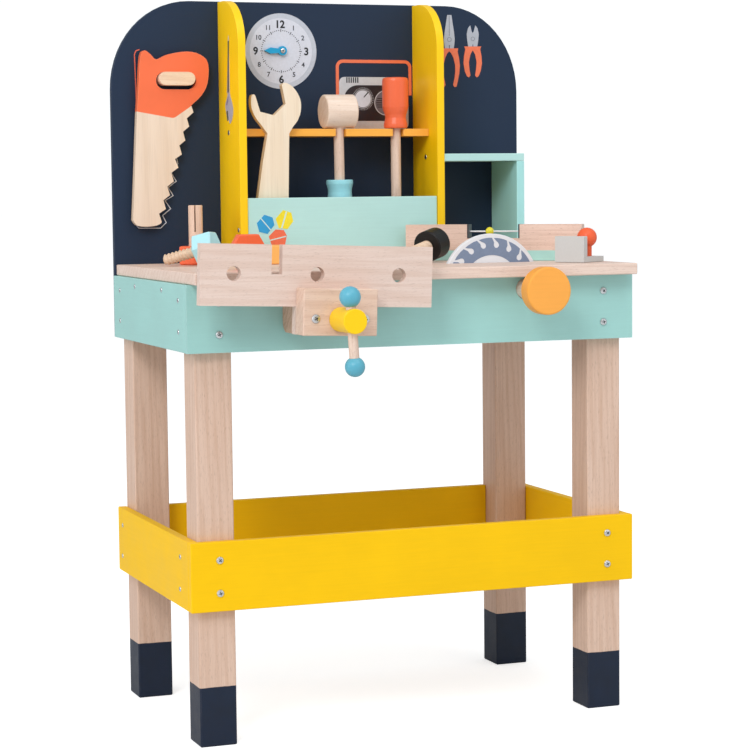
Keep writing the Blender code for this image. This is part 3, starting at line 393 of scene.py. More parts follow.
def hand_saw_look():
    """Ply saw whose upper part is dipped in coral down to a bent line."""
    m = Look("hand_saw_look", rough=0.50, coat=0.10)
    base, fibre = ply(m, "hand_saw", thick="y", layers=3, axis="z", seed=5.0)
    x, _, z = m.xyz()
    left, bend, right = (at(-0.2553, 0, 0.7567).x, 0.7567), (at(-0.2062, 0, 0.7482).x, 0.7482), \
        (at(-0.1838, 0, 0.7632).x, 0.7632)

    def line_through(start, end):
        slope = (end[1] - start[1]) / (end[0] - start[0])
        rise = m.scaled(m.calc("SUBTRACT", x, start[0]), by=slope)
        return m.calc("ADD", rise, start[1])

    bend_softness = 0.004
    limit = m.calc("SMOOTH_MAX", line_through(left, bend), line_through(bend, right),
                   bend_softness)
    dipped = m.above(z, limit, sharpness=2500.0)
    blotch = m.noise(14, (3, 1, 2), detail=4.0, rough=0.6)
    coral = m.mottle(lin((243, 112, 66)), blotch, low=0.94, high=1.05)
    # the lighter pinkish coral along the saw's arrises is a painted highlight of its lit edges
    edges = worn_edges(m, radius=0.0012, seed=4.0)
    coral = m.tint(coral, lin((252, 190, 160)), edges, amount=0.55)
    rough = m.mix(dipped, bare_rough(m, fibre), m.spread(blotch, low=0.36, high=0.46))
    height = m.calc("ADD", fibre, m.scaled(dipped, by=0.8))
    return m.finish(m.mix(dipped, base, coral), rough, height, bump=0.18)


def wrench_look():
    m = Look("wrench_look", rough=0.50, coat=0.10)
    colour, fibre = ply(m, "wrench", thick="y", layers=3, axis="z", seed=6.0,
                        light=(244, 228, 204), dark=(236, 216, 188), glue=(206, 170, 130))
    return m.finish(colour, bare_rough(m, fibre), fibre, bump=0.18)


def level_bead_look():
    m = Look("level_bead_look", rough=0.22, coat=0.4)
    grain = m.noise(300, detail=3.0, rough=0.5)
    colour = m.mottle(lin((228, 216, 40)), grain, low=0.92, high=1.06)
    rough = m.spread(grain, low=0.18, high=0.30)
    return m.finish(colour, rough, grain, bump=0.06, distance=0.0002)


def level_body_look():
    """Beech with its grain along the level, and a painted mint band along the foot."""
    m = Look("level_body_look", rough=0.50, coat=0.10)
    turned = m.mapped((1, 1, 1), rotation=(0, 0, -LEVEL_TURN))
    offset = (2.2, 1.4, 0.2)
    fibre = m.noise(along("x", across=520, length=12), (1.2, 3.4, 2.2),
                    detail=4.0, rough=0.6, source=turned)
    tone = m.noise(along("x", across=24, length=3), offset, detail=2.0, rough=0.5, source=turned)
    rays = m.noise(along("x", across=1500, length=190), offset,
                   detail=2.0, rough=0.5, source=turned)
    tone_mask = m.ramp(tone, (0.36, 0.0), (0.66, 1.0))
    base = m.mix(tone_mask, lin((236, 206, 190)), lin((222, 188, 168)))
    fibre_mask = m.ramp(fibre, (0.46, 0.0), (0.72, 1.0))
    base = m.tint(base, lin((200, 160, 136)), fibre_mask, amount=0.5)
    ray_mask = m.ramp(rays, (0.60, 0.0), (0.70, 1.0))
    base = m.tint(base, lin((160, 116, 92)), ray_mask, amount=0.45)
    band = m.below(m.xyz()[2], LEVEL_LO.z + LEVEL_BAND, sharpness=2500.0)
    blotch = m.noise(40, detail=3.0, rough=0.6)
    mint = m.mottle(lin((170, 217, 208)), blotch, low=0.95, high=1.04)
    rough = m.mix(band, bare_rough(m, fibre), m.spread(blotch, low=0.38, high=0.48))
    height = m.calc("ADD", fibre, m.scaled(band, by=0.7))
    return m.finish(m.mix(band, base, mint), rough, height, bump=0.18)


# ------------------------------------------------------------------ dressing the CAD nodes
def ease(ob, width, segments):
    """Rounds the arrises of a CAD board by a hair, as sanding does."""
    weld = ob.modifiers.new("weld", "WELD")
    weld.merge_threshold = 0.00002
    bevel = ob.modifiers.new("ease", "BEVEL")
    bevel.width = width
    bevel.segments = segments
    bevel.limit_method = "ANGLE"
    bevel.angle_limit = math.radians(35)
    bevel.harden_normals = False
    bevel.miter_outer = "MITER_ARC"
    shade = ob.modifiers.new("shade", "WEIGHTED_NORMAL")
    shade.keep_sharp = False
    shade.weight = 80


def dress(node, material, edge=0.0, segments=2):
    """Gives a CAD node its material and, where edge is not zero, eased arrises."""
    ob = NODES[node]
    if not ob.material_slots:
        ob.data.materials.append(material)
    for slot in ob.material_slots:
        slot.material = material
    if edge:
        ease(ob, edge, segments)


PLAIN = {}
LACQUER = dict(coat=0.2)
APRON = dict(coat=0.14, spec=0.5)
RAIL = dict(worn=(255, 226, 96), coat=0.0, spec=0.18)
FIN = dict(worn=(255, 226, 90))
# node, colour, roughness, brush axis, seed, edge wear, eased edge, further paint settings
PAINTED = (
    ("apron_front", MINT, 0.42, "x", 3.0, 0.30, 0.0, APRON),
    ("apron_left", MINT, 0.42, "y", 4.0, 0.30, 0.0007, APRON),
    ("apron_right", MINT, 0.42, "y", 5.0, 0.30, 0.0007, APRON),
    ("tray_rail_front", YELLOW, 0.46, "x", 6.0, 0.25, 0.0007, RAIL),
    ("tray_rail_rear", YELLOW, 0.46, "x", 7.0, 0.25, 0.0007, RAIL),
    ("tray_rail_left", YELLOW, 0.46, "y", 8.0, 0.25, 0.0007, RAIL),
    ("tray_rail_right", YELLOW, 0.46, "y", 9.0, 0.25, 0.0007, RAIL),
    ("back_panel", NAVY, 0.55, "z", 9.1, 0.20, 0.0006,
     dict(worn=(88, 98, 118), coat=0.0, grain=0.22)),
    ("fin_left", FIN_YELLOW, 0.40, "z", 11.0, 0.30, 0.0008, FIN),
    ("fin_right", FIN_YELLOW, 0.40, "z", 12.0, 0.30, 0.0008, FIN),
    ("tool_shelf", AMBER, 0.40, "x", 13.3, 0.30, 0.0006, PLAIN),
    ("pocket_front", MINT_PALE, 0.42, "x", 14.0, 0.30, 0.0006, PLAIN),
    ("cubby_top", MINT_PALE, 0.42, "x", 15.0, 0.30, 0.0006, PLAIN),
    ("cubby_side", (172, 228, 226), 0.42, "z", 16.0, 0.30, 0.0006, PLAIN),
    ("clock_hand", BLUE, 0.36, "x", 15.0, 0.25, 0.0006, PLAIN),
    ("vise_hub", (252, 204, 0), 0.36, "y", 16.2, 0.2, 0.0, dict(worn=(255, 228, 96))),
    ("vise_ball_top", TEAL, 0.34, "z", 17.0, 0.0, 0.0, LACQUER),
    ("vise_ball_bottom", TEAL, 0.34, "z", 18.0, 0.0, 0.0, LACQUER),
    ("saw_disc", (228, 230, 234), 0.44, "x", 18.5, 0.25, 0.0, PLAIN),
    ("saw_knob", (250, 170, 72), 0.40, "x", 19.5, 0.0, 0.0, dict(coat=0.15)),
    ("hammer_grip", (156, 221, 232), 0.36, "z", 20.0, 0.0, 0.0, LACQUER),
    ("screwdriver_handle", (240, 108, 66), 0.36, "z", 21.0, 0.0, 0.0, LACQUER),
    ("blue_bolt_head", AQUA, 0.38, "x", 22.0, 0.35, 0.0009, PLAIN),
    ("black_bolt_head", BLACK, 0.40, "x", 23.0, 0.25, 0.0, dict(worn=(84, 80, 78))),
    ("red_bolt_head", CORAL, 0.38, "z", 24.0, 0.35, 0.0009, PLAIN),
    ("red_nut", CORAL, 0.38, "z", 25.0, 0.35, 0.0008, PLAIN),
    ("orange_nut", (250, 182, 96), 0.38, "z", 26.0, 0.35, 0.0008, PLAIN),
    ("angle_bracket", GREY, 0.46, "x", 27.0, 0.30, 0.0007, PLAIN),
    ("red_pin", (240, 100, 58), 0.36, "z", 28.0, 0.0, 0.0, PLAIN),
)
# node, light, dark, grain axis, seed, band strength, ray strength, eased edge, edge segments
WOODEN = (
    ("worktop", (236, 212, 198), (206, 170, 150), "x", 4.4, 0.25, 0.35, 0.0008, 2),
    ("saw_peg", (240, 214, 186), (214, 172, 134), "x", 5.5, 0.25, 0.3, 0.0014, 3),
    ("vise_jaw_board", (227, 204, 192), (208, 176, 158), "x", 7.1, 0.30, 0.32, 0.0009, 2),
    ("vise_front_block", (232, 203, 184), (206, 166, 142), "x", 8.6, 0.30, 0.35, 0.0012, 2),
    # the rear vise block's darker beech is painted shade: it sits in shadow under the worktop,
    # behind the jaw
    ("vise_rear_block", (206, 170, 146), (164, 122, 98), "x", 9.2, 0.40, 0.5, 0.0010, 2),
    ("vise_screw", BEECH_LIGHT, BEECH_DARK, "y", 10.4, 0.25, 0.4, 0.0, 2),
    ("vise_handle_rod", BEECH_LIGHT, (196, 158, 134), "z", 12.4, 0.25, 0.45, 0.0, 2),
    ("saw_shaft", BEECH_LIGHT, BEECH_DARK, "y", 13.4, 0.25, 0.4, 0.0, 2),
    ("hammer_head", (243, 224, 208), (222, 192, 168), "x", 14.2, 0.35, 0.35, 0.0, 2),
    ("hammer_handle", TOOL_LIGHT, TOOL_DARK, "z", 15.2, 0.3, 0.45, 0.0, 2),
    ("screwdriver_shaft", TOOL_LIGHT, TOOL_DARK, "z", 16.2, 0.3, 0.45, 0.0, 2),
    ("red_bolt_shaft", (238, 206, 184), (206, 164, 136), "z", 17.2, 0.25, 0.4, 0.0, 2),
)
# wooden nodes whose material is not simply called <node>_look
LOOK_NAMES = {"vise_jaw_board": "vise_jaw_look", "vise_handle_rod": "vise_rod_look"}

for i, node in enumerate(("leg_front_left", "leg_front_right", "leg_rear_left",
                          "leg_rear_right")):
    dress(node, leg_wood(node + "_look", seed=1.7 + 2.31 * i), edge=0.0006)
for node, rgb, rough, axis, seed, wear, edge, extra in PAINTED:
    dress(node, paint(node + "_look", rgb, rough, axis, seed, wear, **extra), edge)
for node, light, dark, axis, seed, ring, fleck, edge, segments in WOODEN:
    look_name = LOOK_NAMES.get(node, node + "_look")
    dress(node, wood(look_name, light, dark, axis, seed, ring, fleck), edge, segments)
dress("tray_floor", tray_floor_look(), edge=0.0004)
dress("hand_saw", hand_saw_look(), edge=0.0006)
dress("wrench", wrench_look(), edge=0.0008)
dress("level_rod", ink("level_rod_look", (236, 238, 240), seed=3.0, rough=0.35))
dress("level_bead", level_bead_look())
dress("level_body", level_body_look(), edge=0.0006)


# ------------------------------------------------------------------ mesh helpers
def link_mesh(name, bm):
    """Puts a bmesh into the scene as it is."""
    mesh = bpy.data.meshes.new(name)
    bm.to_mesh(mesh)
    bm.free()
    ob = bpy.data.objects.new(name, mesh)
    bpy.context.scene.collection.objects.link(ob)
    return ob


def link_solid(name, bm):
    """Puts a bmesh into the scene with its faces turned outwards."""
    bmesh.ops.recalc_face_normals(bm, faces=bm.faces)
    return link_mesh(name, bm)


def new_object(name, bm, material, body="bench", smooth=False):
    ob = link_solid(name, bm)
    for polygon in ob.data.polygons:
        polygon.use_smooth = smooth
    ob.data.materials.append(material)
    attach(ob, body)
    return ob


def evaluated_mesh(ob):
    """New mesh of the object with its modifiers or text applied."""
    bpy.context.view_layer.update()
    depsgraph = bpy.context.evaluated_depsgraph_get()
    return bpy.data.meshes.new_from_object(ob.evaluated_get(depsgraph))


def skin(bm, rings):
    """Closed solid through rings of vertices, capped at both ends."""
    bm.faces.new(rings[0][::-1])
    bm.faces.new(rings[-1])
    for a, b in zip(rings, rings[1:]):
        for k in range(len(a)):
            j = (k + 1) % len(a)
            bm.faces.new((a[k], a[j], b[j], b[k]))


# Prints lie on a surface. A `put` function turns two coordinates in the surface and a
# height out of it into a position.
def on_panel(x, z, height):
    return (x + CENTRE_X, PANEL_Y - height, z)


def on_pocket(x, z, height):
    return (x + CENTRE_X, POCKET_Y - height, z)


def on_left_fin(y, z, height):
    return (FIN_LEFT_X - height, y + CENTRE_Y, z)


# bottom and top height of a print over its surface
BASE = (-0.0001, 0.0003)
BASE_THICK = (-0.0001, 0.0004)
SECOND_THIN = (0.0002, 0.0004)
SECOND = (0.0002, 0.0005)
THIRD_THIN = (0.0004, 0.0006)
THIRD = (0.0004, 0.0007)


def slab(bm, outline, put, layer):
    """Thin closed plate of the outline."""
    skin(bm, [[bm.verts.new(put(a, b, h)) for a, b in outline] for h in layer])


def ring_slab(bm, outer, inner, put, layer):
    """Closed plate between two outlines with the same number of points."""
    outer_low, outer_top, inner_low, inner_top = (
        [bm.verts.new(put(a, b, h)) for a, b in outline]
        for outline in (outer, inner) for h in layer)
    for i in range(len(outer)):
        j = (i + 1) % len(outer)
        bm.faces.new((outer_low[i], outer_low[j], outer_top[j], outer_top[i]))
        bm.faces.new((inner_low[j], inner_low[i], inner_top[i], inner_top[j]))
        bm.faces.new((outer_top[i], outer_top[j], inner_top[j], inner_top[i]))
        bm.faces.new((outer_low[j], outer_low[i], inner_low[i], inner_low[j]))


def strip(bm, points, width, put, layer):
    """Open ribbon along a line, mitred at its corners and closed at its ends."""
    points = [Vector(p) for p in points]
    steps = [(b - a).normalized() for a, b in zip(points, points[1:])]
    left, right = [], []
    for point, before, after in zip(points, steps[:1] + steps, steps + steps[-1:]):
        tangent = (before + after).normalized()
        normal = Vector((-tangent.y, tangent.x))
        mitre = normal.dot(Vector((-before.y, before.x)))
        left.append(point + normal * (width / 2 / mitre))
        right.append(point - normal * (width / 2 / mitre))
    left_low, left_top, right_low, right_top = (
        [bm.verts.new(put(p.x, p.y, h)) for p in side] for side in (left, right) for h in layer)
    for i in range(len(points) - 1):
        j = i + 1
        bm.faces.new((left_top[i], left_top[j], right_top[j], right_top[i]))
        bm.faces.new((left_low[j], left_low[i], right_low[i], right_low[j]))
        bm.faces.new((left_low[i], left_low[j], left_top[j], left_top[i]))
        bm.faces.new((right_low[j], right_low[i], right_top[i], right_top[j]))
    bm.faces.new((left_low[0], left_top[0], right_top[0], right_low[0]))
    bm.faces.new((left_low[-1], right_low[-1], right_top[-1], left_top[-1]))


def circle(centre, radius, segments):
    turns = [2 * math.pi * k / segments for k in range(segments)]
    return [(centre[0] + radius * math.cos(a), centre[1] + radius * math.sin(a)) for a in turns]


def band(bm, centre, outer, inner, segments, put, layer):
    """Flat circular ring."""
    ring_slab(bm, circle(centre, outer, segments), circle(centre, inner, segments), put, layer)


def polar(degrees, radius, centre=(0, 0)):
    """Point at an angle from the vertical, turning towards the first coordinate."""
    a = math.radians(degrees)
    return (centre[0] + radius * math.sin(a), centre[1] + radius * math.cos(a))


def rounded(x0, x1, z0, z1, radius, steps=7):
    """Rectangle with rounded corners."""
    out = []
    for x, z, start in ((x1 - radius, z1 - radius, 0), (x0 + radius, z1 - radius, 90),
                        (x0 + radius, z0 + radius, 180), (x1 - radius, z0 + radius, 270)):
        for k in range(steps + 1):
            a = math.radians(start + 90 * k / steps)
            out.append((x + radius * math.cos(a), z + radius * math.sin(a)))
    return out


def bar(start, end, width):
    """Rectangle of a given width from start to end."""
    d = Vector((end[0] - start[0], end[1] - start[1]))
    n = Vector((-d.y, d.x)).normalized() * width / 2
    return [(start[0] + n.x, start[1] + n.y), (start[0] - n.x, start[1] - n.y),
            (end[0] - n.x, end[1] - n.y), (end[0] + n.x, end[1] + n.y)]


def decal(name, outlines, put, material, layer=BASE):
    """Print made of plain outlines."""
    bm = bmesh.new()
    for outline in outlines:
        slab(bm, outline, put, layer)
    new_object(name, bm, material)


# ------------------------------------------------------------------ clock dial
CLOCK = (-0.0549, 0.8369)               # x, z of the dial centre
RIM_OUTER, RIM_INNER = 0.0494, 0.0430
FACE_OVERLAP = 0.0001                   # the face runs this far under the rim
HOUR_MARK = (0.0250, 0.0288, 0.0010)    # inner radius, outer radius, width
MINUTE_MARK = (0.0264, 0.0276, 0.0011)
NUMERAL_RADIUS, SIX_RADIUS = 0.0352, 0.0368
NUMERAL_THICK = 0.0003
FONT_SCALE = 1.38                       # font size for a numeral of unit height

clock_face = ink("clock_face_ink", (212, 216, 228), seed=5.0)
clock_rim = ink("clock_rim_ink", (190, 196, 208), seed=6.0)
black_ink = ink("dial_ink", (24, 24, 30), seed=7.0)
soft_ink = ink("dial_ink_soft", (46, 48, 58), seed=7.5)

bm = bmesh.new()
band(bm, CLOCK, RIM_OUTER, RIM_INNER, 96, on_panel, BASE)
new_object("clock_rim_print", bm, clock_rim)
decal("clock_face_print", [circle(CLOCK, RIM_INNER + FACE_OVERLAP, 96)], on_panel, clock_face,
      layer=(-0.0001, 0.00025))
bm = bmesh.new()
for minute in range(60):
    inner, outer, width = HOUR_MARK if minute % 5 == 0 else MINUTE_MARK
    mark = bar(polar(6 * minute, inner, CLOCK), polar(6 * minute, outer, CLOCK), width)
    slab(bm, mark, on_panel, SECOND_THIN)
new_object("clock_minute_marks", bm, soft_ink)


def numerals(name, hours, material, height, weight):
    """Dial numbers as one mesh; weight thickens the strokes."""
    verts, faces = [], []
    for hour in hours:
        x, z = polar(30 * hour, SIX_RADIUS if hour == 6 else NUMERAL_RADIUS, CLOCK)
        text = bpy.data.curves.new("numeral", "FONT")
        text.body = str(hour)
        text.size = height * FONT_SCALE
        text.align_x, text.align_y = "CENTER", "CENTER"
        text.extrude = NUMERAL_THICK / 2
        text.offset = weight
        text.resolution_u = 3
        ob = bpy.data.objects.new("numeral", text)
        bpy.context.scene.collection.objects.link(ob)
        mesh = evaluated_mesh(ob)
        xs = [v.co.x for v in mesh.vertices]
        ys = [v.co.y for v in mesh.vertices]
        mid_x, mid_y = (min(xs) + max(xs)) / 2, (min(ys) + max(ys)) / 2
        start = len(verts)
        for v in mesh.vertices:
            verts.append((x + CENTRE_X + v.co.x - mid_x, PANEL_Y - 0.0003 - v.co.z,
                          z + v.co.y - mid_y))
        faces += [[start + i for i in p.vertices] for p in mesh.polygons]
        bpy.data.objects.remove(ob, do_unlink=True)
        bpy.data.meshes.remove(mesh)
    mesh = bpy.data.meshes.new(name)
    mesh.from_pydata(verts, [], faces)
    bm = bmesh.new()
    bm.from_mesh(mesh)
    bmesh.ops.remove_doubles(bm, verts=bm.verts, dist=1e-6)
    bpy.data.meshes.remove(mesh)
    new_object(name, bm, material)


numerals("clock_numerals_large", (3, 6, 9, 12), black_ink, height=0.0100, weight=0.00040)
numerals("clock_numerals_small", (1, 2, 4, 5, 7, 8, 10, 11), soft_ink,
         height=0.0064, weight=0.00014)

# ------------------------------------------------------------------ radio print
HANDLE_LEFT, HANDLE_RIGHT, HANDLE_FOOT = 0.0236, 0.1276, 0.7796
HANDLE_CORNER, HANDLE_BEND = 0.0076, 0.8170         # corner radius, z where it starts
VENT_PITCH, VENT_WIDTH = 0.0031, 0.0016
VENT_LEFT, VENT_BOTTOM, VENT_TOP = 0.0362, 0.7961, 0.8034
DIAL = (0.0594, 0.7748)
SPEAKER, SPEAKER_RADIUS = (0.0926, 0.7697), 0.0158
# z, half width
SPEAKER_SLOTS = ((0.7640, 0.0125), (0.7668, 0.0138), (0.7697, 0.0142),
                 (0.7726, 0.0138), (0.7754, 0.0125))

orange = ink("orange_ink", (238, 118, 78), seed=8.0)
light_grey = ink("light_grey_ink", (200, 203, 208), seed=9.0)
dark_ink = ink("dark_ink", (34, 26, 32), seed=10.0)
dial_white = ink("dial_white_ink", (214, 220, 230), seed=11.0)
mid_grey = ink("mid_grey_ink", (108, 104, 112), seed=12.0)

decal("radio_case_print", [rounded(0.0259, 0.1250, 0.7345, 0.8038, radius=0.0075)],
      on_panel, light_grey)

left_bend = (HANDLE_LEFT + HANDLE_CORNER, HANDLE_BEND)
right_bend = (HANDLE_RIGHT - HANDLE_CORNER, HANDLE_BEND)
handle = [(HANDLE_LEFT, HANDLE_FOOT), (HANDLE_LEFT, HANDLE_BEND)]
handle += [polar(a - 90, HANDLE_CORNER, left_bend) for a in range(15, 91, 15)]
handle += [polar(a, HANDLE_CORNER, right_bend) for a in range(0, 91, 15)]
handle += [(HANDLE_RIGHT, HANDLE_FOOT)]
bm = bmesh.new()
strip(bm, handle, 0.0043, on_panel, BASE_THICK)
new_object("radio_handle_print", bm, orange)

vents = [VENT_LEFT + VENT_PITCH * k for k in range(6)]
decal("radio_vents_print",
      [[(x, VENT_BOTTOM), (x + VENT_WIDTH, VENT_BOTTOM), (x + VENT_WIDTH, VENT_TOP),
        (x, VENT_TOP)] for x in vents], on_panel, black_ink, SECOND)

# face plate: a small round at its upper right, a wide elliptical one at its upper left
face = [(0.0325, 0.7455), (0.1187, 0.7455), (0.1187, 0.7850)]
face += [polar(90 - a, 0.0080, (0.1107, 0.7850)) for a in (20, 45, 70, 90)]
face += [(0.0530 - 0.0205 * math.sin(math.radians(a)), 0.7740 + 0.0190 * math.cos(math.radians(a)))
         for a in range(0, 91, 10)]
decal("radio_face_print", [face], on_panel, dark_ink, SECOND)

bm = bmesh.new()
band(bm, DIAL, 0.0128, 0.0121, 64, on_panel, THIRD)
band(bm, SPEAKER, 0.0168, SPEAKER_RADIUS, 64, on_panel, THIRD)
for inner, outer in zip(circle(DIAL, 0.0140, 40), circle(DIAL, 0.0152, 40)):
    slab(bm, bar(inner, outer, 0.0007), on_panel, THIRD)
new_object("radio_dial_rings_print", bm, light_grey)
decal("radio_speaker_print", [circle(SPEAKER, SPEAKER_RADIUS + 0.0001, 64)], on_panel, mid_grey,
      THIRD_THIN)
decal("radio_dial_print", [circle(DIAL, 0.0113, 64)], on_panel, dial_white, THIRD)
decal("radio_pointer_print", [bar((0.0608, 0.7770), (0.0672, 0.7838), 0.0014)], on_panel,
      black_ink, layer=(0.0006, 0.0009))
decal("radio_speaker_slots_print",
      [bar((SPEAKER[0] - half, z), (SPEAKER[0] + half, z), 0.0012) for z, half in SPEAKER_SLOTS],
      on_panel, dark_ink, layer=(0.0005, 0.0008))

# ------------------------------------------------------------------ pliers and cutter prints
# outlines as x, z
PLIERS_HANDLES = [
    (0.1985, 0.8436), (0.1975, 0.8391), (0.1995, 0.8309), (0.2008, 0.8204), (0.1999, 0.8099),
    (0.1976, 0.7994), (0.1956, 0.7919), (0.1927, 0.7912), (0.1906, 0.7941), (0.1928, 0.8038),
    (0.194, 0.8128), (0.1937, 0.8218), (0.1914, 0.8308), (0.1881, 0.837), (0.1854, 0.8394),
    (0.1826, 0.837), (0.1793, 0.8306), (0.1768, 0.8217), (0.1764, 0.8127), (0.1774, 0.8037),
    (0.1795, 0.794), (0.1773, 0.7911), (0.1744, 0.7917), (0.1725, 0.7992), (0.1705, 0.8096),
    (0.1697, 0.8201), (0.1711, 0.8306), (0.1733, 0.8388), (0.1724, 0.8433)]
PLIERS_JAWS = [
    (0.1889, 0.8882), (0.1906, 0.8771), (0.1925, 0.8652), (0.1935, 0.8559), (0.193, 0.8502),
    (0.192, 0.8435), (0.1789, 0.8433), (0.178, 0.85), (0.1775, 0.8557), (0.1788, 0.865),
    (0.1808, 0.8769), (0.1827, 0.8881)]
CUTTER_HANDLES = [
    (0.2327, 0.8465), (0.231, 0.8429), (0.2329, 0.8327), (0.2335, 0.8237), (0.2315, 0.8131),
    (0.2281, 0.8059), (0.2255, 0.8047), (0.2232, 0.8071), (0.2245, 0.8146), (0.2256, 0.8251),
    (0.2234, 0.8356), (0.22, 0.8413), (0.2165, 0.8355), (0.2141, 0.825), (0.215, 0.8145),
    (0.2163, 0.807), (0.2139, 0.8046), (0.2113, 0.8058), (0.2081, 0.8129), (0.2062, 0.8234),
    (0.2069, 0.8324), (0.209, 0.8426), (0.2074, 0.8462)]
CUTTER_JAWS = [
    (0.224, 0.8749), (0.2273, 0.8709), (0.229, 0.8634), (0.2283, 0.8552), (0.2268, 0.8465),
    (0.2133, 0.8463), (0.2119, 0.855), (0.2113, 0.8632), (0.2131, 0.8707), (0.2164, 0.8748),
    (0.2171, 0.8727), (0.2187, 0.8663), (0.2201, 0.8645), (0.2216, 0.8663), (0.2233, 0.8728)]
PLIERS_X, CUTTER_X = 0.1855, 0.2201
# x, lower z, upper z, width of the upright lines
TOOL_LINES = ((PLIERS_X, 0.8600, 0.8868, 0.0006), (PLIERS_X, 0.8433, 0.8478, 0.0012),
              (CUTTER_X, 0.8462, 0.8490, 0.0012))

steel_ink = ink("steel_grey_ink", (176, 180, 190), seed=13.0)
steel_dark = ink("steel_dark_ink", (96, 100, 112), seed=14.0)
decal("pliers_handles_print", [PLIERS_HANDLES], on_panel, orange, BASE_THICK)
decal("cutter_handles_print", [CUTTER_HANDLES], on_panel, orange, BASE_THICK)
decal("pliers_jaws_print", [PLIERS_JAWS], on_panel, steel_ink)
decal("cutter_jaws_print", [CUTTER_JAWS], on_panel, steel_ink)
bm = bmesh.new()
band(bm, (PLIERS_X, 0.8553), 0.0031, 0.0026, 32, on_panel, SECOND)
band(bm, (CUTTER_X, 0.8566), 0.0028, 0.0023, 32, on_panel, SECOND)
for x, low, high, width in TOOL_LINES:
    slab(bm, bar((x, low), (x, high), width), on_panel, SECOND)
new_object("pliers_lines_print", bm, steel_dark)

# ------------------------------------------------------------------ drill bit on the left fin
# outlines as y, z
DRILL_BIT = [(0.1222, 0.8500), (0.1234, 0.8540), (0.1248, 0.8500), (0.1330, 0.7800),
             (0.1212, 0.7800)]
DRILL_BODY = [
    (0.1214, 0.7802), (0.1296, 0.7802), (0.1330, 0.7740), (0.1404, 0.7660), (0.1412, 0.7625),
    (0.1372, 0.7550), (0.1350, 0.7480), (0.1310, 0.7440), (0.1275, 0.7462), (0.1236, 0.7412),
    (0.1200, 0.7404), (0.1128, 0.7450), (0.1082, 0.7520), (0.1070, 0.7590), (0.1120, 0.7680),
    (0.1180, 0.7740)]
DRILL_LINE = [(0.1212, 0.8460), (0.1260, 0.8460), (0.1306, 0.7806), (0.1238, 0.7806)]
DRILL_SHADE = [(0.1262, 0.7770), (0.1320, 0.7716), (0.1380, 0.7650), (0.1320, 0.7640),
               (0.1270, 0.7700)]
decal("drill_bit_print", [DRILL_BIT, DRILL_BODY], on_left_fin,
      ink("drill_ink", (176, 172, 182), seed=15.0))
decal("drill_bit_line_print", [DRILL_LINE, bar((0.1330, 0.7570), (0.1305, 0.7450), 0.0060)],
      on_left_fin, ink("drill_dark_ink", (92, 92, 74), seed=15.5), SECOND_THIN)
decal("drill_bit_shade_print", [DRILL_SHADE], on_left_fin,
      ink("drill_mid_ink", (134, 128, 150), seed=15.8), SECOND_THIN)

# ------------------------------------------------------------------ hexagons on the pocket
# name, colour, outline (x, z), ends of the slot line (x, z), slot width
HEXAGONS = (
    ("blue", (40, 158, 216),
     [(-0.1087, 0.6231), (-0.0978, 0.6194), (-0.0954, 0.6098), (-0.1049, 0.5984),
      (-0.1161, 0.6013), (-0.119, 0.6125)],
     ((-0.1139, 0.6188), (-0.1000, 0.6027)), 0.0013),
    ("yellow", (244, 226, 40),
     [(-0.0833, 0.6288), (-0.0723, 0.6252), (-0.0699, 0.6142), (-0.0777, 0.6043),
      (-0.0896, 0.6057), (-0.0936, 0.6178)],
     ((-0.0788, 0.6268), (-0.0858, 0.6050)), 0.0019),
    ("red", (240, 112, 76),
     [(-0.0938, 0.6041), (-0.0828, 0.6031), (-0.0789, 0.5958), (-0.0814, 0.5838),
      (-0.0992, 0.5826), (-0.1032, 0.5955)],
     ((-0.1022, 0.5900), (-0.0797, 0.5950)), 0.0014),
)
slots = bmesh.new()
for i, (tag, rgb, outline, ends, width) in enumerate(HEXAGONS):
    decal("motif_%s_print" % tag, [outline], on_pocket,
          ink("motif_%s_ink" % tag, rgb, seed=16.0 + i))
    slab(slots, bar(*ends, width), on_pocket, SECOND)
new_object("motif_slots_print", slots, ink("motif_slot_ink", (204, 232, 226), seed=19.0))

# ------------------------------------------------------------------ outline behind the hand saw
# lines as x, z
BLADE_TEETH = [
    (-0.2010, 0.7020), (-0.1985, 0.6900), (-0.2075, 0.6779), (-0.2010, 0.6673),
    (-0.2121, 0.6593), (-0.2055, 0.6487), (-0.2166, 0.6423), (-0.2092, 0.6317),
    (-0.2203, 0.6229), (-0.2155, 0.6139), (-0.2232, 0.6067), (-0.2524, 0.6072),
    (-0.2552, 0.6105)]
BLADE_BACK = [(-0.2540, 0.7420), (-0.2545, 0.7200), (-0.2552, 0.6900)]
GRIP = [(-0.2539, 0.7433), (-0.2524, 0.7561), (-0.2530, 0.7946), (-0.2538, 0.8305),
        (-0.2518, 0.8350), (-0.2470, 0.8368)]
bm = bmesh.new()
strip(bm, BLADE_TEETH, 0.0010, on_panel, BASE)
strip(bm, BLADE_BACK, 0.0010, on_panel, BASE)
new_object("saw_outline_blade_print", bm, ink("outline_white_ink", (206, 212, 224), seed=20.0))
bm = bmesh.new()
strip(bm, GRIP, 0.0013, on_panel, BASE_THICK)
new_object("saw_outline_grip_print", bm, ink("outline_orange_ink", (222, 100, 74), seed=21.0))

# ------------------------------------------------------------------ saw disc print
TEETH, FIRST_TOOTH = 18, 7.7            # count, degrees from the top
# one tooth: degrees from its start, radius
TOOTH = (
    (0.9, 0.0476), (2.4, 0.0486), (3.5, 0.0500), (3.9, 0.0515), (3.4, 0.0532), (2.0, 0.0548),
    (-1.4, 0.0570), (-4.4, 0.0601), (0.0, 0.0604), (5.0, 0.0605), (9.0, 0.0605),
    (13.0, 0.0603), (14.6, 0.0572), (15.9, 0.0550), (16.1, 0.0532), (15.8, 0.0515),
    (16.3, 0.0500), (17.5, 0.0486), (19.1, 0.0476), (10.0, 0.0474))


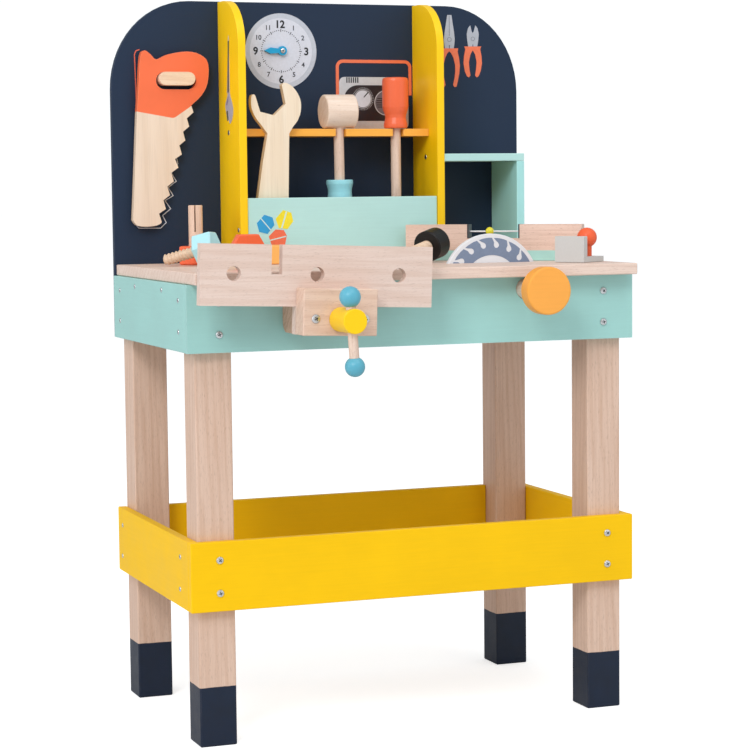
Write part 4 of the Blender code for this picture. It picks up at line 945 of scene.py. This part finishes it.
def disc_print(name, face_y, outward, seed):
    """Toothed ring on one face of the disc; outward is the sign of y away from it."""
    lo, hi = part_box("saw_disc")
    mid_x, mid_z = (lo.x + hi.x) / 2, (lo.z + hi.z) / 2

    def on_disc(a, b, height):
        return (mid_x + a, face_y + outward * height, mid_z + b)

    bm = bmesh.new()
    band(bm, (0, 0), 0.0480, 0.0385, 72, on_disc, layer=(-0.0001, 0.00028))
    for k in range(TEETH):
        start = FIRST_TOOTH + 360 / TEETH * k
        slab(bm, [polar(start + turn, radius) for turn, radius in TOOTH], on_disc, BASE)
    new_object(name, bm, ink(name + "_ink", (122, 138, 164), seed), "saw_spindle")


disc_lo, disc_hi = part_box("saw_disc")
disc_print("saw_disc_teeth_front", disc_lo.y, outward=-1.0, seed=22.0)
disc_print("saw_disc_teeth_back", disc_hi.y, outward=1.0, seed=23.0)


# ------------------------------------------------------------------ screws
def facing(point, normal, turn=0.0):
    """Matrix at a surface point whose +Z looks out along the normal."""
    tilt = Vector((0, 0, 1)).rotation_difference(Vector(normal).normalized())
    spin = Matrix.Rotation(turn, 4, "Z")
    return Matrix.Translation(Vector(point)) @ tilt.to_matrix().to_4x4() @ spin


def cross_cutter(matrix, radius, depth):
    """Tapered cross that cuts the recess; its origin is the top of the screw head."""
    bm = bmesh.new()

    def plus(reach, half, z):
        ring = []
        for c, s in ((1, 0), (0, 1), (-1, 0), (0, -1)):
            for x, y in ((reach, -half), (reach, half), (half, half)):
                ring.append(bm.verts.new(matrix @ Vector((x * c - y * s, x * s + y * c, z))))
        return ring

    width = radius * 0.34
    skin(bm, [plus(radius * 0.36, width * 0.32, -depth), plus(radius * 0.70, width / 2, 0.004)])
    return link_solid("cross", bm)


zinc_bright, zinc_dull = steel("zinc_bright", seed=1.0), steel("zinc_dull", seed=4.0)


def screw(name, point, normal, radius, height, body="bench", turn=0.3, material=zinc_dull,
          stands_for=None, shank=None):
    """Pan-head screw with a cross recess cut into the dome; shank is (radius, length)."""
    matrix = facing(point, normal, turn)
    profile = [(radius, height * 0.15), (radius * 0.96, height * 0.45),
               (radius * 0.84, height * 0.74), (radius * 0.60, height * 0.94),
               (radius * 0.28, height)]
    if shank:
        shank_radius, length = shank
        profile = [(shank_radius * 0.9, -length), (shank_radius, -length + 0.0006),
                   (shank_radius, 0.0), (radius * 0.97, 0.0)] + profile
    else:
        profile = [(radius * 0.97, -0.001)] + profile
    bm = bmesh.new()
    skin(bm, [[bm.verts.new(matrix @ Vector((x, y, z))) for x, y in circle((0, 0), r, 28)]
              for r, z in profile])
    blank = link_solid(name + "_blank", bm)
    cutter = cross_cutter(matrix @ Matrix.Translation((0, 0, height)), radius, height * 0.85)
    recess = blank.modifiers.new("recess", "BOOLEAN")
    recess.operation, recess.solver, recess.object = "DIFFERENCE", "EXACT", cutter
    mesh = evaluated_mesh(blank)
    bpy.data.objects.remove(blank, do_unlink=True)
    bpy.data.objects.remove(cutter, do_unlink=True)
    mesh.name = name
    mesh.materials.clear()
    mesh.materials.append(material)
    for polygon in mesh.polygons:
        polygon.use_smooth = False
    ob = bpy.data.objects.new(name, mesh)
    bpy.context.scene.collection.objects.link(ob)
    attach(ob, body)
    if stands_for:
        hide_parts(stands_for)


def screw_for(node, suffix, surface_y, turn, shank, body="bench", material=zinc_bright):
    """Screw in place of a CAD node, its head standing on the surface at surface_y."""
    lo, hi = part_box(node)
    screw(node + suffix, ((lo.x + hi.x) / 2, surface_y, (lo.z + hi.z) / 2), FRONT,
          (hi.x - lo.x) / 2, surface_y - lo.y, body, turn, material, node, shank)


apron_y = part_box("apron_front")[0].y
for place, turn in (("left_lower", 0.4), ("left_upper", 1.1), ("right_lower", 0.2),
                    ("right_upper", 0.8)):
    screw_for("apron_bolt_" + place, "_screw", apron_y, turn, shank=(0.0024, 0.0260))
block_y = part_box("vise_front_block")[0].y
for side, turn in (("left", 0.5), ("right", 1.2)):
    screw_for("vise_block_screw_" + side, "_screw", block_y, turn, shank=(0.0019, 0.0330),
              body="vise_jaw")
screw_for("clock_pivot_screw", "_cross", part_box("clock_hand")[0].y - 0.0004, turn=0.4,
          shank=(0.0012, 0.0090), material=zinc_dull)

rail_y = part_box("tray_rail_front")[0].y
for side, x in (("left", -0.252), ("right", 0.252)):
    for level, z in (("upper", 0.2238), ("lower", 0.1847)):
        screw("rail_screw_%s_%s" % (side, level), (x + CENTRE_X, rail_y, z), FRONT,
              radius=0.0045, height=0.0020, turn=0.3 + z * 9, material=zinc_bright)

SIDE_RADIUS, SIDE_HEIGHT = 0.0030, 0.0009
# y, z of the screws in the outer faces of the side boards
RAIL_SPOTS = ((0.147, 0.224), (0.150, 0.1835), (-0.125, 0.2237), (-0.1226, 0.1848))
APRON_SPOTS = ((0.1378, 0.5287), (0.1388, 0.4899), (0.0623, 0.5364), (-0.0628, 0.5371),
               (-0.1346, 0.5274), (-0.1343, 0.4905))


def side_screws(stem, board, spots, left_turn, right_turn):
    """The same row of screws in the outer faces of the left and right boards."""
    left_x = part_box(board + "_left")[0].x
    right_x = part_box(board + "_right")[1].x
    for i, (y, z) in enumerate(spots):
        for side, x, normal, turn in (("left", left_x, LEFT, left_turn),
                                      ("right", right_x, RIGHT, right_turn)):
            screw("%s_%s_%d" % (stem, side, i), (x, y + CENTRE_Y, z), normal,
                  SIDE_RADIUS, SIDE_HEIGHT, turn=turn + i)


side_screws("rail_side_screw", "tray_rail", RAIL_SPOTS, left_turn=0.4, right_turn=0.9)
side_screws("apron_side_screw", "apron", APRON_SPOTS, left_turn=0.2, right_turn=0.7)
# name, x of the face, y, z, head radius, head height, turn
FIN_SCREWS = (
    ("fin_right_screw", FIN_RIGHT_X, 0.1247, 0.6963, 0.0034, SIDE_HEIGHT, 0.4),
    ("fin_left_screw", FIN_LEFT_X, 0.0916, 0.6040, SIDE_RADIUS, SIDE_HEIGHT, 0.9),
    ("fin_left_plug", FIN_LEFT_X, 0.1285, 0.7289, 0.0034, 0.0007, 0.2),
)
for name, x, y, z, radius, height, turn in FIN_SCREWS:
    screw(name, (x, y + CENTRE_Y, z), LEFT, radius, height, turn=turn)

# ------------------------------------------------------------------ window end plates of the level
WINDOW_MIDDLE, WINDOW_HALF = 0.1187, 0.0335     # along the level from its corner
LEVEL_THICK = 0.0150
PLATE_INSET = 0.0007                            # plate centre beyond the window end
level_height = LEVEL_HI.z - LEVEL_LO.z
level_matrix = (Matrix.Translation(at(0.0800, 0.0700, LEVEL_LO.z))
                @ Matrix.Rotation(LEVEL_TURN, 4, "Z"))
plate_ink = ink("level_plate_ink", (54, 52, 60), seed=30.0, rough=0.35)
for side, sign in (("left", -1), ("right", 1)):
    x = WINDOW_MIDDLE + sign * (WINDOW_HALF + PLATE_INSET)
    bm = bmesh.new()
    bmesh.ops.create_cube(bm, size=1.0)
    bmesh.ops.scale(bm, vec=(0.0018, LEVEL_THICK + 0.0004, 0.0182), verts=bm.verts)
    bmesh.ops.translate(bm, vec=(x, LEVEL_THICK / 2, level_height - 0.0089), verts=bm.verts)
    bmesh.ops.bevel(bm, geom=list(bm.edges), offset=0.0001, segments=1, affect="EDGES")
    bmesh.ops.transform(bm, matrix=level_matrix, verts=bm.verts)
    new_object("level_window_plate_" + side, bm, plate_ink, "level")

# ------------------------------------------------------------------ threaded shanks
THREAD_PITCH = 0.0052
THREAD_SIDES, ROWS_PER_TURN = 40, 12
LEAD_IN = 0.0022                        # length over which the lower end tapers


def thread(name, node, body, crest, root, look):
    """Wooden screw thread swept round the CAD shank's own axis, from its lower end up."""
    points = [v.co.copy() for v in NODES[node].data.vertices]
    centre = sum(points, Vector()) / len(points)
    farthest = max(points, key=lambda v: (v - centre).length)
    axis = (farthest - centre).normalized()
    # power iteration on the scatter of the vertices gives the shank axis
    for _ in range(60):
        total = Vector()
        for v in points:
            d = v - centre
            total += d * d.dot(axis)
        axis = total.normalized()
    stations = [(v - centre).dot(axis) for v in points]
    lo, hi = min(stations), max(stations)
    if (centre + axis * hi).z < (centre + axis * lo).z:
        axis, lo, hi = -axis, -hi, -lo
    # vertices lie evenly round each ring, so the middle of the end is on the axis
    end = [v for v in points if abs((v - centre).dot(axis) - lo) < 1e-5]
    matrix = facing(sum(end, Vector()) / len(end), axis)
    length = hi - lo
    rows = int(length / THREAD_PITCH * ROWS_PER_TURN)
    bm = bmesh.new()
    rings = []
    for i in range(rows + 1):
        z = length * i / rows
        taper = 0.80 + 0.20 * min(1.0, z / LEAD_IN)
        ring = []
        for k in range(THREAD_SIDES):
            a = 2 * math.pi * k / THREAD_SIDES
            phase = (z / THREAD_PITCH - k / THREAD_SIDES) % 1.0
            rise = (0.5 + 0.5 * math.cos(2 * math.pi * phase)) ** 0.75
            r = (root + (crest - root) * rise) * taper
            ring.append(bm.verts.new(matrix @ Vector((r * math.cos(a), r * math.sin(a), z))))
        rings.append(ring)
    skin(bm, rings)
    ob = new_object(name, bm, look, body, smooth=True)
    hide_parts(node)


for colour, crest, root, axis, seed in (("blue", 0.0072, 0.0056, "x", 19.0),
                                        ("black", 0.0080, 0.0064, "y", 20.0)):
    # the blue bolt's material has the general name
    look_name = "bolt_thread_look" if colour == "blue" else "black_bolt_thread_look"
    look = wood(look_name, BOLT_LIGHT, BOLT_DARK, axis, seed, ring=0.25, fleck=0.35)
    bolt = colour + "_bolt"
    thread(bolt + "_thread", bolt + "_shaft", bolt, crest, root, look)

# ------------------------------------------------------------------ stage
scene = bpy.context.scene


def floor_look():
    """Pale floor that glows for the camera only."""
    m = Look("studio_floor", rough=0.85, spec=0.1)
    cloud = m.noise(3, detail=3.0, rough=0.5)
    m.shader.inputs["Emission Color"].default_value = (1, 1, 1, 1)
    seen = m.add("ShaderNodeLightPath").outputs["Is Camera Ray"]
    m.link(m.scaled(seen, by=0.60), m.shader.inputs["Emission Strength"])
    colour = m.mottle((0.80, 0.81, 0.82, 1), cloud, low=0.985, high=1.0)
    m.link(colour, m.shader.inputs["Base Color"])
    return m.material


bm = bmesh.new()
bmesh.ops.create_circle(bm, cap_ends=True, segments=96, radius=60.0)
floor = link_mesh("studio_floor", bm)
floor.data.materials.append(floor_look())

# the sky is brighter to the camera than to the scene
SKY_LIGHT, SKY_CAMERA_EXTRA = 0.54, 0.52
world = bpy.data.worlds.new("studio")
world.use_nodes = True
tree = world.node_tree
background = tree.nodes["Background"]
background.inputs[0].default_value = (0.96, 0.985, 1.0, 1.0)
seen = tree.nodes.new("ShaderNodeLightPath").outputs["Is Camera Ray"]
glow = tree.nodes.new("ShaderNodeMath")
glow.operation = "MULTIPLY_ADD"
tree.links.new(seen, glow.inputs[0])
glow.inputs[1].default_value = SKY_CAMERA_EXTRA
glow.inputs[2].default_value = SKY_LIGHT
tree.links.new(glow.outputs[0], background.inputs[1])
scene.world = world

# ------------------------------------------------------------------ lights
# name, place, target, size, power in watts, colour
LIGHTS = (
    ("key", (-2.1, -2.5, 2.7), (0, 0, 0.5), 1.3, 62, (0.985, 0.99, 1.0)),
    ("fill", (2.4, -2.8, 1.2), (0, 0, 0.5), 2.4, 12, (0.97, 0.985, 1.0)),
    ("left", (-3.2, 0.0, 1.3), (0, 0, 0.6), 2.0, 22, (0.99, 0.99, 1.0)),
    ("top", (0.4, -1.3, 2.9), (0, 0.1, 0.75), 1.6, 20, (0.97, 0.985, 1.0)),
)
for name, place, target, size, power, colour in LIGHTS:
    light = bpy.data.lights.new(name, "AREA")
    light.shape = "SQUARE"
    light.size = size
    light.energy = power
    light.color = colour
    lamp = bpy.data.objects.new(name, light)
    lamp.location = place
    aim = Vector(target) - Vector(place)
    lamp.rotation_euler = aim.to_track_quat("-Z", "Y").to_euler()
    scene.collection.objects.link(lamp)

# ------------------------------------------------------------------ camera
CAMERA_PLACE = at(-0.9998557799685248, -2.668062008188354, 0.657248845988401)
YAW = math.radians(-20.7045670921321)
PITCH = math.radians(4.785232621862932)         # positive looks down
ROLL = math.radians(-0.6046475016240008)

back = Vector((math.sin(YAW) * math.cos(PITCH), -math.cos(YAW) * math.cos(PITCH),
               math.sin(PITCH)))
level_right = Vector((math.cos(YAW), math.sin(YAW), 0))
level_up = level_right.cross(-back)
right = math.cos(ROLL) * level_right + math.sin(ROLL) * level_up
up = -math.sin(ROLL) * level_right + math.cos(ROLL) * level_up
camera_matrix = Matrix((right, up, back)).transposed().to_4x4()
camera_matrix.translation = CAMERA_PLACE
camera = bpy.data.cameras.new("camera")
camera.sensor_width = 36.0
camera.lens = 107.863375809224
camera.clip_start, camera.clip_end = 0.05, 150.0
camera_object = bpy.data.objects.new("camera", camera)
camera_object.matrix_world = camera_matrix
scene.collection.objects.link(camera_object)
scene.camera = camera_object
scene.view_settings.view_transform = "Standard"
scene.view_settings.look = "None"
